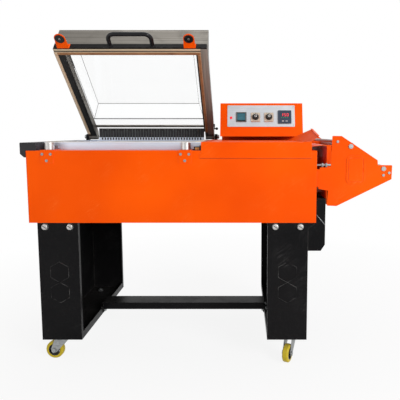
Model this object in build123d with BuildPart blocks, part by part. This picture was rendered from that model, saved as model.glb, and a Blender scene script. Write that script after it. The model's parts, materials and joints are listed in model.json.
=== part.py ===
import os
from math import atan2, cos, radians, sin

from build123d import *

os.makedirs("parts", exist_ok=True)

# Object: packing machine that seals film with an L bar and shrinks it in the same chamber.
# Millimetres. X runs along the machine towards the film cradle, Y away from the operator,
# Z up from the floor. The hood is drawn open, as it rests.

# Overall
body_length = 985.0
body_depth = 610.0
end_cap_reach = 18.0
cradle_reach = 257.0
body_bottom = 519.0
body_top = 766.0
worktop = 793.0
table_top = 795.0
total_length = end_cap_reach + body_length + cradle_reach
left = end_cap_reach - total_length / 2
right = left + body_length
front = -body_depth / 2
rear = body_depth / 2

# Sheet thicknesses
casing_sheet = 2.0
stand_sheet = 3.0
trim_sheet = 1.5
hood_sheet = 2.0
running_gap = 0.05
rest_gap = 0.5

# Stand
leg_width = 140.0
leg_inset = 26.0
leg_front = front + 8.0
leg_rear = leg_front + 568.0
leg_bottom = 98.0
leg_return = 14.0
leg_flange = 30.0
leg_lip = 25.0
hexagon_radius = 37.0
hexagon_height = 1.2
hexagon_centres = (343.0, 270.0)
leg_bolt_spacing = 86.0
leg_bolt_drop = 15.0
tab_width = 116.0
tab_drop = 36.0
bolt_radius = 4.0
bolt_head_radius = 9.0
bolt_head_height = 5.0
washer_radius = 11.5
washer_height = 1.6
nut_radius = 7.5
nut_height = 6.5
bolt_tail = 3.0
shelf_front = front + 254.0
shelf_depth = 80.0
shelf_top = 141.0
shelf_height = 27.0
shelf_bolt_spacing = 50.0
shelf_bolt_z = leg_bottom + 13.0

# Castors
wheel_radius = 32.5
wheel_width = 22.0
core_radius = 22.0
core_web = 6.0
hub_radius = 10.0
axle_radius = 5.0
axle_head_radius = 8.0
axle_head_height = 3.0
fork_sheet = 2.5
fork_gap = 26.0
fork_trail = 34.0
fork_crown_radius = 23.0
fork_end_radius = 11.0
race_top = leg_bottom - 3.1
crown_top = race_top - 3.0
king_radius = 8.0
king_head_radius = 12.0
king_head_height = 3.0
stud_radius = 6.0
castor_outward = 50.0
castor_front_inset = 67.0
castor_rear_inset = 62.0

# Worktop frame and chamber
frame_left = left + 36.0
frame_right = left + 592.0
frame_front = front + 65.0
frame_rear = front + 604.0
frame_wall = 30.0
frame_rear_wall = 49.0
rim_rest = 6.0
tub_depth = 126.0
tub_sheet = 1.5
groove_height = 2.0
groove_depth = 1.5
net_rod = 2.5
net_pitch = 34.0
pad_width = 14.0
pad_height = 1.5
pad_sink = 2.0

# Hood hinge
hinge_y = front + 579.0
hinge_z = 808.0
hood_open_deg = 41.0
pin_radius = 6.0
ear_radius = 12.5
bracket_width = 12.0
pin_knob_radius = 9.0
pin_knob_length = 8.0

# Hood, in its own axes: a runs from the hinge to the operator, b square to the seal plane
hood_left = left + 30.0
hood_right = left + 602.0
seal_right = left + 576.0
rail_left_width = 38.0
rail_right_width = 40.0
seal_level = worktop + pad_height + rest_gap - hinge_z
bar_height = 5.0
bar_width = 12.0
rail_level = seal_level + bar_height
rail_height = 32.0
rail_top = rail_level + rail_height
hood_reach = 506.0
wall_top = 103.0
wall_return = 14.0
rear_bar_a = 46.0
rear_bar_width = 8.0
front_rail_height = 22.0
front_rail_depth = 6.0
handle_reach = 74.0
handle_radius = 8.0
handle_width = 176.0
handle_bend = 24.0
handle_foot_radius = 13.0
handle_foot_height = 4.0

# Hood window
window_sheet = 3.0
window_step_a = 92.0
window_top_a = 140.0
window_top = 74.0
window_flange = 10.0
window_slope = 22.0
window_fit = 0.3

# Electromagnets and the plates they hold
magnet_x = (left + 72.0, left + 538.0)
magnet_y = front + 25.0
magnet_radius = 17.0
plate_sheet = 2.0
plate_width = 44.0
plate_drop = 42.0
magnet_foot = body_top + plate_sheet
disc_radius = 17.0
disc_height = 3.0
disc_a = hinge_y - magnet_y
armature_sheet = 3.0
armature_foot = 18.0
screw_radius = 4.5
screw_height = 2.4
screw_pilot = 2.0
magnet_screws = ((-14.0, -12.0), (14.0, -12.0), (0.0, -34.0))

# Comb behind the chamber
comb_left = left + 78.0
comb_right = left + 556.0
comb_y = hinge_y - 17.0
comb_depth = 10.0
comb_base = 12.0
comb_top = 846.0
comb_pitch = 12.4
comb_slot = 5.0
comb_slot_depth = 6.0

# Limit switch
switch_x = left + 566.0
switch_y = front + 22.0
switch_length = 26.0
switch_width = 12.0
switch_height = 13.0
lever_sheet = 1.2
lever_length = 25.0
lever_pivot = 1.2

# Film table, wing and guide
table_left = left + 593.0
table_right = left + 966.0
skirt_bottom = 741.0
skirt_left = left + 588.0
wing_fold = ((table_right - 1.0, front + 2.0), (left + 920.0, front + 391.0))
wing_rise = 23.0
wing_run = 25.0
wing_tail_share = 0.42
wing_foot = 14.0
wing_lip = 7.0
wing_relief = 0.4
guide_left = left + 967.0
guide_right = left + 1030.0
guide_top = 785.0
guide_drop = 13.0

# Control box
box_left = left + 640.0
box_right = left + 980.0
box_front = front + 345.0
box_break = front + 357.0
box_crest = front + 388.0
box_rear = front + 600.0
box_under = 811.0
box_knee = 844.5
box_top = 948.0
box_leg = front + 505.0
box_wall_left = box_left + 12.0
film_gap_end = left + 964.0

# Control panel
panel_width = 278.0
panel_height = 92.0
panel_centre_x = left + 808.5
panel_centre_v = 52.0
panel_sheet = 1.5
panel_window_margin = 8.0
lamp_at = (-124.0, -8.0)
rocker_at = (-82.0, -5.0)
timer_at = ((-23.0, -6.0), (32.0, -6.0))
thermostat_at = (97.0, -5.0)
rocker_size = (44.0, 42.0)
rocker_frame_height = 4.0
rocker_button = (32.0, 34.0)
rocker_tilt = 7.0
rocker_depth = 13.0
timer_size = 39.0
timer_height = 5.0
timer_body_depth = 34.0
knob_radius = 13.5
knob_height = 13.0
knob_shaft_radius = 3.0
thermostat_size = 56.0
thermostat_height = 7.0
thermostat_depth = 60.0
key_size = (9.0, 5.0)
key_height = 2.4
key_travel = 1.0
key_spacing = 15.0
lamp_radius = 5.5

# Film cradle
cradle_sheet = 3.0
cradle_front = front + 10.0
cradle_rear = front + 560.0
cradle_outline = (
    (1022.0, 577.0), (1055.0, 575.5), (1241.0, 668.0), (1242.0, 716.0), (1193.0, 716.5),
    (1192.0, 733.0), (1068.0, 815.0), (1037.0, 815.5), (1033.0, 708.5), (996.0, 708.5),
    (991.0, 635.0), (1025.0, 629.0),
)
cradle_corner = 6.0
tab_bend = 22.0
roller_places = {
    "guide_roller_upper": (1100.0, 780.0, 13.0),
    "guide_roller_outer": (1213.0, 704.0, 11.0),
}
journal_radius = 5.0
journal_collar = 8.0
cradle_screws = ((1055.0, 796.0), (1213.0, 682.0), (1232.0, 690.0))
cross_plate_x = 1020.0
cross_plate_bottom = 584.0

# Electrical box
ebox_front = front + 12.0
ebox_rear = front + 212.0
ebox_out = 1018.0
ebox_top = 600.0
ebox_bottom = 418.0

# Louvres in the rear wall, as far out as the screw heads at the front
louvre_reach = plate_sheet + screw_height
louvre_length = 90.0
louvre_height = 12.0
louvre_pitch = 24.0
louvre_rows = 6
louvre_bottom = body_bottom + 60.0
louvre_x = (left + 120.0, left + 260.0, left + 400.0, left + 700.0)

lean = radians(hood_open_deg)
hood_forward = (0, -cos(lean), sin(lean))
hood_normal = (0, sin(lean), cos(lean))


def level(z):
    """Horizontal plane at height z."""
    return Plane.XY.offset(z)


def facing(y):
    """Upright plane seen from the front: its x is X, its y is Z, it faces the operator."""
    return Plane(origin=(0, y, 0), x_dir=(1, 0, 0), z_dir=(0, -1, 0))


def behind(y):
    """Upright plane seen from the rear: its x is -X, its y is Z, it faces away from the operator."""
    return Plane(origin=(0, y, 0), x_dir=(-1, 0, 0), z_dir=(0, 1, 0))


def across(x):
    """Upright plane seen from the right end: its x is Y, its y is Z, it faces +X."""
    return Plane(origin=(x, 0, 0), x_dir=(0, 1, 0), z_dir=(1, 0, 0))


def hood_point(x, a, b):
    """Point of the open hood from its own coordinates."""
    return (
        x,
        hinge_y + a * hood_forward[1] + b * hood_normal[1],
        hinge_z + a * hood_forward[2] + b * hood_normal[2],
    )


def hood_flat(b):
    """Plane along the seal plane at height b: its x is X, its y runs back from the operator."""
    return Plane(origin=hood_point(0, 0, b), x_dir=(1, 0, 0), z_dir=hood_normal)


def hood_section(x):
    """Plane square to X at x: its x is a, its y is b. It faces the left end."""
    return Plane(origin=hood_point(x, 0, 0), x_dir=hood_forward, z_dir=(-1, 0, 0))


def hood_face(a):
    """Plane at distance a from the hinge, facing the operator: its x is X, its y is b."""
    return Plane(origin=hood_point(0, a, 0), x_dir=(1, 0, 0), z_dir=hood_forward)


def panel_plane():
    """Leaning face of the control box: x is X, y climbs the slope, it faces the operator."""
    slope = atan2(box_crest - box_break, box_top - box_knee)
    return Plane(
        origin=(panel_centre_x, box_break + panel_centre_v * sin(slope),
                box_knee + panel_centre_v * cos(slope)),
        x_dir=(1, 0, 0),
        z_dir=(0, -cos(slope), sin(slope)),
    )


def on_panel(u, v, w=0.0):
    """Plane on the leaning face at u along it, v up the slope and w out of it."""
    base = panel_plane()
    return Plane(origin=base.from_local_coords((u, v, w)), x_dir=base.x_dir, z_dir=base.z_dir)


def block(plane, x_span, y_span, height, mode=Mode.ADD):
    """Rectangle between two x and two y values of a plane, raised by height."""
    with BuildSketch(plane) as shape:
        with Locations(((x_span[0] + x_span[1]) / 2, (y_span[0] + y_span[1]) / 2)):
            Rectangle(x_span[1] - x_span[0], y_span[1] - y_span[0])
    extrude(shape.sketch, amount=height, mode=mode)


def outline(plane, points, height, mode=Mode.ADD, both=False):
    """Closed outline on a plane, raised by height."""
    with BuildSketch(plane) as shape:
        with BuildLine():
            Polyline(*points, close=True)
        make_face()
    extrude(shape.sketch, amount=height, mode=mode, both=both)


def disc(plane, place, radius, height, mode=Mode.ADD):
    """Round of a radius at a place on a plane, raised by height."""
    with BuildSketch(plane) as shape:
        with Locations(place):
            Circle(radius)
    extrude(shape.sketch, amount=height, mode=mode)


def ring(plane, place, outer, inner, height, mode=Mode.ADD):
    """Ring at a place on a plane, raised by height."""
    with BuildSketch(plane) as shape:
        with Locations(place):
            Circle(outer)
            Circle(inner, mode=Mode.SUBTRACT)
    extrude(shape.sketch, amount=height, mode=mode)


def save(builder, name):
    """Label a sub-part and write its file."""
    builder.part.label = name
    export_step(builder.part, f"parts/{name}.step")


# Where the stand's bolts and castors are

leg_spans = {
    "left_leg": (left + leg_inset, left + leg_inset + leg_width),
    "right_leg": (right - leg_inset - leg_width, right - leg_inset),
}
leg_bolt_z = body_bottom - leg_bolt_drop


def leg_bolt_x(span):
    """X of the two bolts at the top of a leg plate."""
    middle = (span[0] + span[1]) / 2
    return (middle - leg_bolt_spacing / 2, middle + leg_bolt_spacing / 2)


shelf_middle = shelf_front + shelf_depth / 2
shelf_bolt_y = (shelf_middle - shelf_bolt_spacing / 2, shelf_middle + shelf_bolt_spacing / 2)
castor_x = (leg_spans["left_leg"][0] + castor_outward, leg_spans["right_leg"][1] - castor_outward)
castor_y = (leg_front + castor_front_inset, leg_rear - castor_rear_inset)
castors = {
    "fl": (castor_x[0], castor_y[0], 176.0),
    "fr": (castor_x[1], castor_y[0], 246.0),
    "rl": (castor_x[0], castor_y[1], 128.0),
    "rr": (castor_x[1], castor_y[1], 204.0),
}


# Legs: folded channels, open towards the middle, with two raised hexagons on each end plate


def build_leg(name):
    span = leg_spans[name]
    outer_first = name == "left_leg"
    outer = span[0] if outer_first else span[1]
    inner = span[1] if outer_first else span[0]
    inward = 1 if outer_first else -1
    t = stand_sheet
    with BuildPart() as leg:
        points = [
            (inner, leg_front), (outer, leg_front), (outer, leg_rear), (inner, leg_rear),
            (inner, leg_rear - leg_return), (inner - inward * t, leg_rear - leg_return),
            (inner - inward * t, leg_rear - t), (outer + inward * t, leg_rear - t),
            (outer + inward * t, leg_front + t), (inner - inward * t, leg_front + t),
            (inner - inward * t, leg_front + leg_return), (inner, leg_front + leg_return),
        ]
        outline(level(leg_bottom), points, body_bottom - leg_bottom)
        plate = sorted((outer + inward * t, inner))
        block(level(leg_bottom), plate, (leg_front + t, leg_rear - t), t)
        lip = sorted((inner - inward * t, inner))
        block(level(leg_bottom), lip, (leg_front + t, leg_rear - t), leg_lip)
        flange = sorted((outer + inward * t, outer + inward * leg_flange))
        flange_y = (leg_front + 2 * t + rest_gap, leg_rear - 2 * t - rest_gap)
        block(level(body_bottom - t), flange, flange_y, t)
        middle = (span[0] + span[1]) / 2
        for plane, x in ((facing(leg_front), middle), (behind(leg_rear), -middle)):
            for z in hexagon_centres:
                with BuildSketch(plane):
                    with Locations((x, z)):
                        RegularPolygon(hexagon_radius, 6, rotation=30)
                extrude(amount=hexagon_height, taper=30)
        for y in (leg_front, leg_rear - t):
            with BuildSketch(facing(y)):
                with Locations(*[(x, leg_bolt_z) for x in leg_bolt_x(span)]):
                    Circle(bolt_radius)
            extrude(amount=-t, mode=Mode.SUBTRACT)
        with BuildSketch(across(inner)):
            with Locations(*[(y, shelf_bolt_z) for y in shelf_bolt_y]):
                Circle(bolt_radius)
        extrude(amount=-inward * t, mode=Mode.SUBTRACT)
        with BuildSketch(level(leg_bottom)):
            x = castor_x[0] if outer_first else castor_x[1]
            with Locations(*[(x, y) for y in castor_y]):
                Circle(stud_radius)
        extrude(amount=t, mode=Mode.SUBTRACT)
    save(leg, name)


for leg_name in leg_spans:
    build_leg(leg_name)

# Crossbar: folded shelf between the legs with bolted end plates

with BuildPart() as crossbar:
    bar_left = leg_spans["left_leg"][1]
    bar_right = leg_spans["right_leg"][0]
    low = shelf_top - shelf_height
    back = shelf_front + shelf_depth
    outline(
        across(bar_left),
        [
            (shelf_front, low), (shelf_front, shelf_top), (back, shelf_top), (back, low),
            (back - stand_sheet, low), (back - stand_sheet, shelf_top - stand_sheet),
            (shelf_front + stand_sheet, shelf_top - stand_sheet), (shelf_front + stand_sheet, low),
        ],
        bar_right - bar_left,
    )
    for x in (bar_left, bar_right - stand_sheet):
        block(across(x), (shelf_front, back), (leg_bottom + stand_sheet, shelf_top), stand_sheet)
    with BuildSketch(across(bar_left)):
        with Locations(*[(y, shelf_bolt_z) for y in shelf_bolt_y]):
            Circle(bolt_radius)
    extrude(amount=bar_right - bar_left, mode=Mode.SUBTRACT)
    fillet(crossbar.edges().filter_by(Axis.X).group_by(Axis.Z)[-1], radius=stand_sheet / 2)
save(crossbar, "crossbar")


# Bolts of the stand: through the leg plates into the tabs of the pan, and through the
# end plates of the crossbar into the lips of the legs


def bolt(plane, place, grip):
    """Washer, head and shank outwards of a plane, with the shank going back through the grip."""
    disc(plane, place, washer_radius, washer_height)
    seat = plane.offset(washer_height)
    with BuildSketch(seat) as shape:
        with Locations(place):
            RegularPolygon(bolt_head_radius, 6)
    extrude(shape.sketch, amount=bolt_head_height)
    disc(plane, place, bolt_radius, -(grip + nut_height + bolt_tail))


def nut(plane, place, grip):
    """Nut on the far side of the grip."""
    with BuildSketch(plane.offset(-grip)) as shape:
        with Locations(place):
            RegularPolygon(nut_radius, 6)
            Circle(bolt_radius, mode=Mode.SUBTRACT)
    extrude(shape.sketch, amount=-nut_height)


def stand_bolt_places():
    """Plane and place of every stand bolt."""
    places = []
    for span in leg_spans.values():
        for x in leg_bolt_x(span):
            places.append((facing(leg_front), (x, leg_bolt_z)))
            places.append((behind(leg_rear), (-x, leg_bolt_z)))
    for y in shelf_bolt_y:
        from_right = Plane(
            origin=(leg_spans["left_leg"][1] + stand_sheet, 0, 0), x_dir=(0, 1, 0), z_dir=(1, 0, 0)
        )
        from_left = Plane(
            origin=(leg_spans["right_leg"][0] - stand_sheet, 0, 0), x_dir=(0, -1, 0), z_dir=(-1, 0, 0)
        )
        places.append((from_right, (y, shelf_bolt_z)))
        places.append((from_left, (-y, shelf_bolt_z)))
    return places


with BuildPart() as stand_bolts:
    for bolt_plane, bolt_place in stand_bolt_places():
        bolt(bolt_plane, bolt_place, 2 * stand_sheet)
with BuildPart() as stand_nuts:
    for bolt_plane, bolt_place in stand_bolt_places():
        nut(bolt_plane, bolt_place, 2 * stand_sheet)
fasteners = Compound(
    label="stand_bolts", children=[*stand_bolts.part.solids(), *stand_nuts.part.solids()]
)
export_step(fasteners, "parts/stand_bolts.step")


# Castors: fixed kingpin mount, swivelling fork with a riveted axle, core and tyre

mount_solids = []
for key, (cx, cy, turn) in castors.items():
    with BuildPart() as castor_mount:
        disc(level(race_top), (cx, cy), fork_crown_radius, leg_bottom - race_top)
        disc(level(crown_top - fork_sheet - rest_gap), (cx, cy), king_radius, leg_bottom - crown_top)
        disc(level(crown_top - fork_sheet - rest_gap), (cx, cy), king_head_radius, -king_head_height)
        disc(level(leg_bottom), (cx, cy), stud_radius, stand_sheet + nut_height + bolt_tail)
    with BuildPart() as castor_nut:
        with BuildSketch(level(leg_bottom + stand_sheet)):
            with Locations((cx, cy)):
                RegularPolygon(2 * stud_radius, 6)
                Circle(stud_radius, mode=Mode.SUBTRACT)
        extrude(amount=nut_height)
    mount_solids += [*castor_mount.part.solids(), *castor_nut.part.solids()]
mounts = Compound(label="castor_mounts", children=mount_solids)
export_step(mounts, "parts/castor_mounts.step")


def castor_side(cx, cy, turn):
    """Plane through a castor: its x trails from the kingpin, its y is Z."""
    angle = radians(turn)
    return Plane(origin=(cx, cy, 0), x_dir=(cos(angle), sin(angle), 0), z_dir=(sin(angle), -cos(angle), 0))


def build_fork(key, cx, cy, turn):
    side = castor_side(cx, cy, turn)
    half = fork_gap / 2 + fork_sheet
    crown_low = crown_top - fork_sheet
    shoulder = crown_low - 16.0
    with BuildPart() as fork:
        with BuildSketch(side):
            with BuildLine():
                Polyline(
                    (-fork_crown_radius * 0.78, crown_top), (fork_crown_radius, crown_top),
                    (fork_trail + fork_end_radius, wheel_radius + fork_end_radius * 0.4),
                    (fork_trail + fork_end_radius * 0.4, wheel_radius - fork_end_radius),
                    (fork_trail - fork_end_radius, wheel_radius - fork_end_radius * 0.5),
                    (-fork_crown_radius * 0.78, shoulder),
                    close=True,
                )
            make_face()
        extrude(amount=half, both=True)
        fillet(fork.edges().filter_by(Axis(side.origin, side.z_dir)), radius=3.0)
        with BuildSketch(side):
            with BuildLine():
                Polyline(
                    (-3 * fork_crown_radius, -wheel_radius), (4 * fork_crown_radius, -wheel_radius),
                    (4 * fork_crown_radius, crown_low), (-3 * fork_crown_radius, crown_low),
                    close=True,
                )
            make_face()
        extrude(amount=fork_gap / 2, both=True, mode=Mode.SUBTRACT)
        ring(level(crown_top), (cx, cy), fork_crown_radius - 3.0, king_radius + running_gap,
             race_top - crown_top - 2 * running_gap)
        disc(level(crown_low), (cx, cy), king_radius + running_gap, fork_sheet, Mode.SUBTRACT)
        disc(side.offset(-half), (fork_trail, wheel_radius), axle_radius, 2 * half, Mode.SUBTRACT)
    with BuildPart() as axle:
        disc(side.offset(-half), (fork_trail, wheel_radius), axle_radius, 2 * half)
        disc(side.offset(half), (fork_trail, wheel_radius), axle_head_radius, axle_head_height)
        disc(side.offset(-half), (fork_trail, wheel_radius), axle_head_radius, -axle_head_height)
    whole = Compound(label=f"castor_{key}_fork", children=[*fork.part.solids(), *axle.part.solids()])
    export_step(whole, f"parts/castor_{key}_fork.step")


def build_wheel(key, cx, cy, turn):
    side = castor_side(cx, cy, turn)
    spin = Plane(
        origin=side.from_local_coords((fork_trail, wheel_radius, 0)), x_dir=side.x_dir, z_dir=side.z_dir
    )
    hub_half = fork_gap / 2 - rest_gap
    with BuildPart() as core:
        with BuildSketch(spin):
            Circle(core_radius)
        extrude(amount=wheel_width / 2, both=True)
        for direction in (1, -1):
            with BuildSketch(spin.offset(direction * wheel_width / 2)):
                Circle(core_radius - 3.0)
                Circle(hub_radius, mode=Mode.SUBTRACT)
            extrude(amount=-direction * (wheel_width - core_web) / 2, mode=Mode.SUBTRACT)
        with BuildSketch(spin):
            Circle(hub_radius)
        extrude(amount=hub_half, both=True)
        with BuildSketch(spin):
            with PolarLocations((core_radius + hub_radius) / 2, 5):
                Circle(3.4)
        extrude(amount=core_web, both=True, mode=Mode.SUBTRACT)
        with BuildSketch(spin):
            Circle(axle_radius + running_gap)
        extrude(amount=hub_half, both=True, mode=Mode.SUBTRACT)
    save(core, f"castor_{key}_core")
    with BuildPart() as tyre:
        with BuildSketch(spin):
            Circle(wheel_radius)
        extrude(amount=wheel_width / 2, both=True)
        fillet(tyre.edges(), radius=wheel_width / 4)
        with BuildSketch(spin):
            Circle(core_radius)
        extrude(amount=wheel_width / 2, both=True, mode=Mode.SUBTRACT)
    save(tyre, f"castor_{key}_tyre")


for key, place in castors.items():
    build_fork(key, *place)
    build_wheel(key, *place)

# Casing: folded sheet, open below, with the deck that carries the worktop frame and the table

deck_hole = (
    (frame_left + frame_wall + rim_rest, frame_right - frame_wall - rim_rest),
    (frame_front + frame_wall + rim_rest, frame_rear - frame_rear_wall - rim_rest),
)

with BuildPart() as body_shell:
    block(level(body_bottom), (left, right), (front, rear), body_top - body_bottom)
    fillet(body_shell.edges().filter_by(Axis.Z), radius=4.0)
    fillet(body_shell.edges().group_by(Axis.Z)[-1], radius=1.5)
    block(
        level(body_bottom), (left + casing_sheet, right - casing_sheet),
        (front + casing_sheet, rear - casing_sheet), body_top - body_bottom - casing_sheet, Mode.SUBTRACT,
    )
    block(level(body_top), *deck_hole, -casing_sheet, Mode.SUBTRACT)
    for x in louvre_x:
        for row in range(louvre_rows):
            z = louvre_bottom + row * louvre_pitch
            outline(
                across(x), [(rear, z), (rear + louvre_reach, z), (rear, z + louvre_height)], louvre_length
            )
            cut_back = rear - casing_sheet
            outline(
                across(x + trim_sheet),
                [(cut_back, z), (rear + louvre_reach - trim_sheet, z), (cut_back, z + louvre_height)],
                louvre_length - 2 * trim_sheet, Mode.SUBTRACT,
            )
save(body_shell, "body_shell")

# Pan that closes the casing below, with tabs that hang inside the leg plates

with BuildPart() as bottom_pan:
    inner_x = (left + casing_sheet, right - casing_sheet)
    inner_y = (front + casing_sheet, rear - casing_sheet)
    block(level(body_bottom), inner_x, inner_y, 22.0)
    block(
        level(body_bottom + casing_sheet), (inner_x[0] + casing_sheet, inner_x[1] - casing_sheet),
        (inner_y[0] + casing_sheet, inner_y[1] - casing_sheet), 22.0, Mode.SUBTRACT,
    )
    for span in leg_spans.values():
        middle = (span[0] + span[1]) / 2
        for y in (leg_front + stand_sheet, leg_rear - 2 * stand_sheet):
            block(
                facing(y + stand_sheet), (middle - tab_width / 2, middle + tab_width / 2),
                (body_bottom - tab_drop, body_bottom), stand_sheet,
            )
            with BuildSketch(facing(y + stand_sheet)):
                with Locations(*[(x, leg_bolt_z) for x in leg_bolt_x(span)]):
                    Circle(bolt_radius)
            extrude(amount=stand_sheet, mode=Mode.SUBTRACT)
    with BuildSketch(level(body_bottom)):
        with GridLocations(16.0, 120.0, 16, 2):
            SlotOverall(80.0, 6.0, rotation=90)
    extrude(amount=casing_sheet, mode=Mode.SUBTRACT)
save(bottom_pan, "bottom_pan")

# Chamber tub hanging by its rim on the deck

with BuildPart() as chamber_tub:
    rim_x = (frame_left + frame_wall + running_gap, frame_right - frame_wall - running_gap)
    rim_y = (frame_front + frame_wall + running_gap, frame_rear - frame_rear_wall - running_gap)
    tub_x = (deck_hole[0][0] + rest_gap, deck_hole[0][1] - rest_gap)
    tub_y = (deck_hole[1][0] + rest_gap, deck_hole[1][1] - rest_gap)
    block(level(body_top), rim_x, rim_y, tub_sheet)
    block(level(body_top), tub_x, tub_y, -tub_depth)
    fillet(chamber_tub.edges().filter_by(Axis.Z).group_by(Axis.Z)[0], radius=8.0)
    with BuildSketch(level(body_top + tub_sheet)):
        with Locations(((tub_x[0] + tub_x[1]) / 2, (tub_y[0] + tub_y[1]) / 2)):
            RectangleRounded(
                tub_x[1] - tub_x[0] - 2 * tub_sheet, tub_y[1] - tub_y[0] - 2 * tub_sheet, 8.0 - tub_sheet
            )
    extrude(amount=-tub_depth, mode=Mode.SUBTRACT)
    with BuildSketch(level(body_top - tub_depth)):
        with Locations(((tub_x[0] + tub_x[1]) / 2, (tub_y[0] + tub_y[1]) / 2)):
            with PolarLocations(48.0, 12):
                SlotOverall(30.0, 8.0)
    extrude(amount=tub_sheet, mode=Mode.SUBTRACT)
save(chamber_tub, "chamber_tub")

# Worktop frame: profiled ring around the chamber with the upstand behind it

with BuildPart() as base_frame:
    block(level(body_top), (frame_left, frame_right), (frame_front, frame_rear), worktop - body_top)
    fillet(base_frame.edges().filter_by(Axis.Z), radius=3.0)
    block(
        level(body_top), (frame_left + frame_wall, frame_right - frame_wall),
        (frame_front + frame_wall, frame_rear - frame_rear_wall), worktop - body_top, Mode.SUBTRACT,
    )
    chamfer(base_frame.edges().group_by(Axis.Z)[-1], length=0.8)
    for z in (body_top + 6.0, body_top + 13.0, body_top + 20.0):
        with BuildSketch(level(z)):
            with Locations(((frame_left + frame_right) / 2, (frame_front + frame_rear) / 2)):
                Rectangle(frame_right - frame_left + 4.0, frame_rear - frame_front + 4.0)
                Rectangle(
                    frame_right - frame_left - 2 * groove_depth, frame_rear - frame_front - 2 * groove_depth,
                    mode=Mode.SUBTRACT,
                )
        extrude(amount=groove_height, mode=Mode.SUBTRACT)
    pad_x = (frame_left + 4.0, seal_right + 1.0)
    with BuildSketch(level(worktop - pad_sink)):
        with BuildLine():
            Polyline(
                (pad_x[0], frame_front + 6.0), (pad_x[1], frame_front + 6.0), (pad_x[1], hinge_y - 40.0),
                (pad_x[1] - pad_width, hinge_y - 40.0), (pad_x[1] - pad_width, frame_front + 6.0 + pad_width),
                (pad_x[0], frame_front + 6.0 + pad_width), close=True,
            )
        make_face()
    extrude(amount=pad_sink, mode=Mode.SUBTRACT)
    block(
        level(worktop), (comb_left, comb_right), (comb_y - 4.0, comb_y + comb_depth + 4.0), comb_base,
    )
    with BuildSketch(facing(comb_y - 4.0)):
        slots = int((comb_right - comb_left) / comb_pitch) - 1
        with Locations(((comb_left + comb_right) / 2, worktop + comb_base / 2)):
            with GridLocations(comb_pitch, 0.0, slots, 1):
                Rectangle(comb_slot, comb_base / 2)
    extrude(amount=-2.0, mode=Mode.SUBTRACT)
save(base_frame, "base_frame")

# L-shaped sealing pad let into the frame

with BuildPart() as seal_pads:
    with BuildSketch(level(worktop - pad_sink)):
        with BuildLine():
            Polyline(
                (pad_x[0], frame_front + 6.0), (pad_x[1], frame_front + 6.0), (pad_x[1], hinge_y - 40.0),
                (pad_x[1] - pad_width, hinge_y - 40.0), (pad_x[1] - pad_width, frame_front + 6.0 + pad_width),
                (pad_x[0], frame_front + 6.0 + pad_width), close=True,
            )
        make_face()
    extrude(amount=pad_sink + pad_height)
    chamfer(seal_pads.edges().group_by(Axis.Z)[-1], length=0.6)
save(seal_pads, "seal_pads")

# Product net: welded rods lying on the tub's rim

with BuildPart() as product_net:
    net_x = (rim_x[0] + net_rod + rest_gap, rim_x[1] - net_rod - rest_gap)
    net_y = (rim_y[0] + net_rod + rest_gap, rim_y[1] - net_rod - rest_gap)
    net_z = body_top + tub_sheet + net_rod
    lift = 2 * net_rod - 0.6
    for y in net_y:
        disc(across(net_x[0]), (y, net_z), net_rod, net_x[1] - net_x[0])
    rods = int((net_x[1] - net_x[0]) / net_pitch)
    step = (net_x[1] - net_x[0] - 2 * net_rod) / rods
    for number in range(rods + 1):
        x = net_x[0] + net_rod + number * step
        disc(facing(net_y[0] - net_rod), (x, net_z + lift), net_rod, -(net_y[1] - net_y[0] + 2 * net_rod))
    for share in (0.25, 0.5, 0.75):
        y = net_y[0] + share * (net_y[1] - net_y[0])
        disc(across(net_x[0]), (y, net_z), net_rod, net_x[1] - net_x[0])
save(product_net, "product_net")

# Black cap profile along the left end of the worktop

cap_rear = front + 540.0
cap_wall = 2.5
with BuildPart() as end_cap:
    cap_points = [
        (left - end_cap_reach, worktop - 38.0), (left - end_cap_reach, worktop), (frame_left, worktop),
        (frame_left, body_top), (left, body_top), (left, worktop - 50.0), (left - 5.0, worktop - 50.0),
    ]
    outline(facing(front), cap_points, -(cap_rear - front))
    fillet(end_cap.edges().filter_by(Axis.Y).group_by(Axis.Z)[-1].group_by(Axis.X)[0], radius=3.0)
    hollow = [
        (left - end_cap_reach + cap_wall, worktop - 37.0),
        (left - end_cap_reach + cap_wall, worktop - cap_wall), (frame_left - cap_wall, worktop - cap_wall),
        (frame_left - cap_wall, body_top + cap_wall), (left - cap_wall, body_top + cap_wall),
        (left - cap_wall, worktop - 47.0), (left - 5.0, worktop - 47.0),
    ]
    outline(facing(front + cap_wall), hollow, -(cap_rear - front - 2 * cap_wall), Mode.SUBTRACT)
save(end_cap, "end_cap")

# Comb of upright fins behind the chamber

with BuildPart() as rear_comb:
    block(
        level(worktop + comb_base), (comb_left, comb_right), (comb_y, comb_y + comb_depth),
        comb_top - worktop - comb_base,
    )
    with BuildSketch(facing(comb_y)):
        with Locations(((comb_left + comb_right) / 2, (worktop + comb_base + comb_top) / 2 - 2.0)):
            with GridLocations(comb_pitch, 0.0, int((comb_right - comb_left) / comb_pitch) - 1, 1):
                Rectangle(comb_slot, comb_top - worktop - comb_base - 8.0)
    extrude(amount=-comb_slot_depth, mode=Mode.SUBTRACT)
save(rear_comb, "rear_comb")

# Hinge brackets either side of the hood, and the pins fixed in them

bracket_spots = (
    (hood_left - 2.0 - bracket_width, body_top, -1),
    (hood_right + 2.0, table_top, 1),
)

with BuildPart() as hinge_brackets:
    for x, foot, _ in bracket_spots:
        with BuildSketch(across(x)):
            with Locations((hinge_y, hinge_z)):
                Circle(ear_radius)
            with Locations((hinge_y, (hinge_z + foot) / 2)):
                Rectangle(2 * ear_radius, hinge_z - foot)
            with Locations((hinge_y, foot + 3.0)):
                Rectangle(2 * ear_radius + 20.0, 6.0)
            with Locations((hinge_y, hinge_z)):
                Circle(pin_radius, mode=Mode.SUBTRACT)
        extrude(amount=bracket_width)
save(hinge_brackets, "hinge_brackets")

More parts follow.
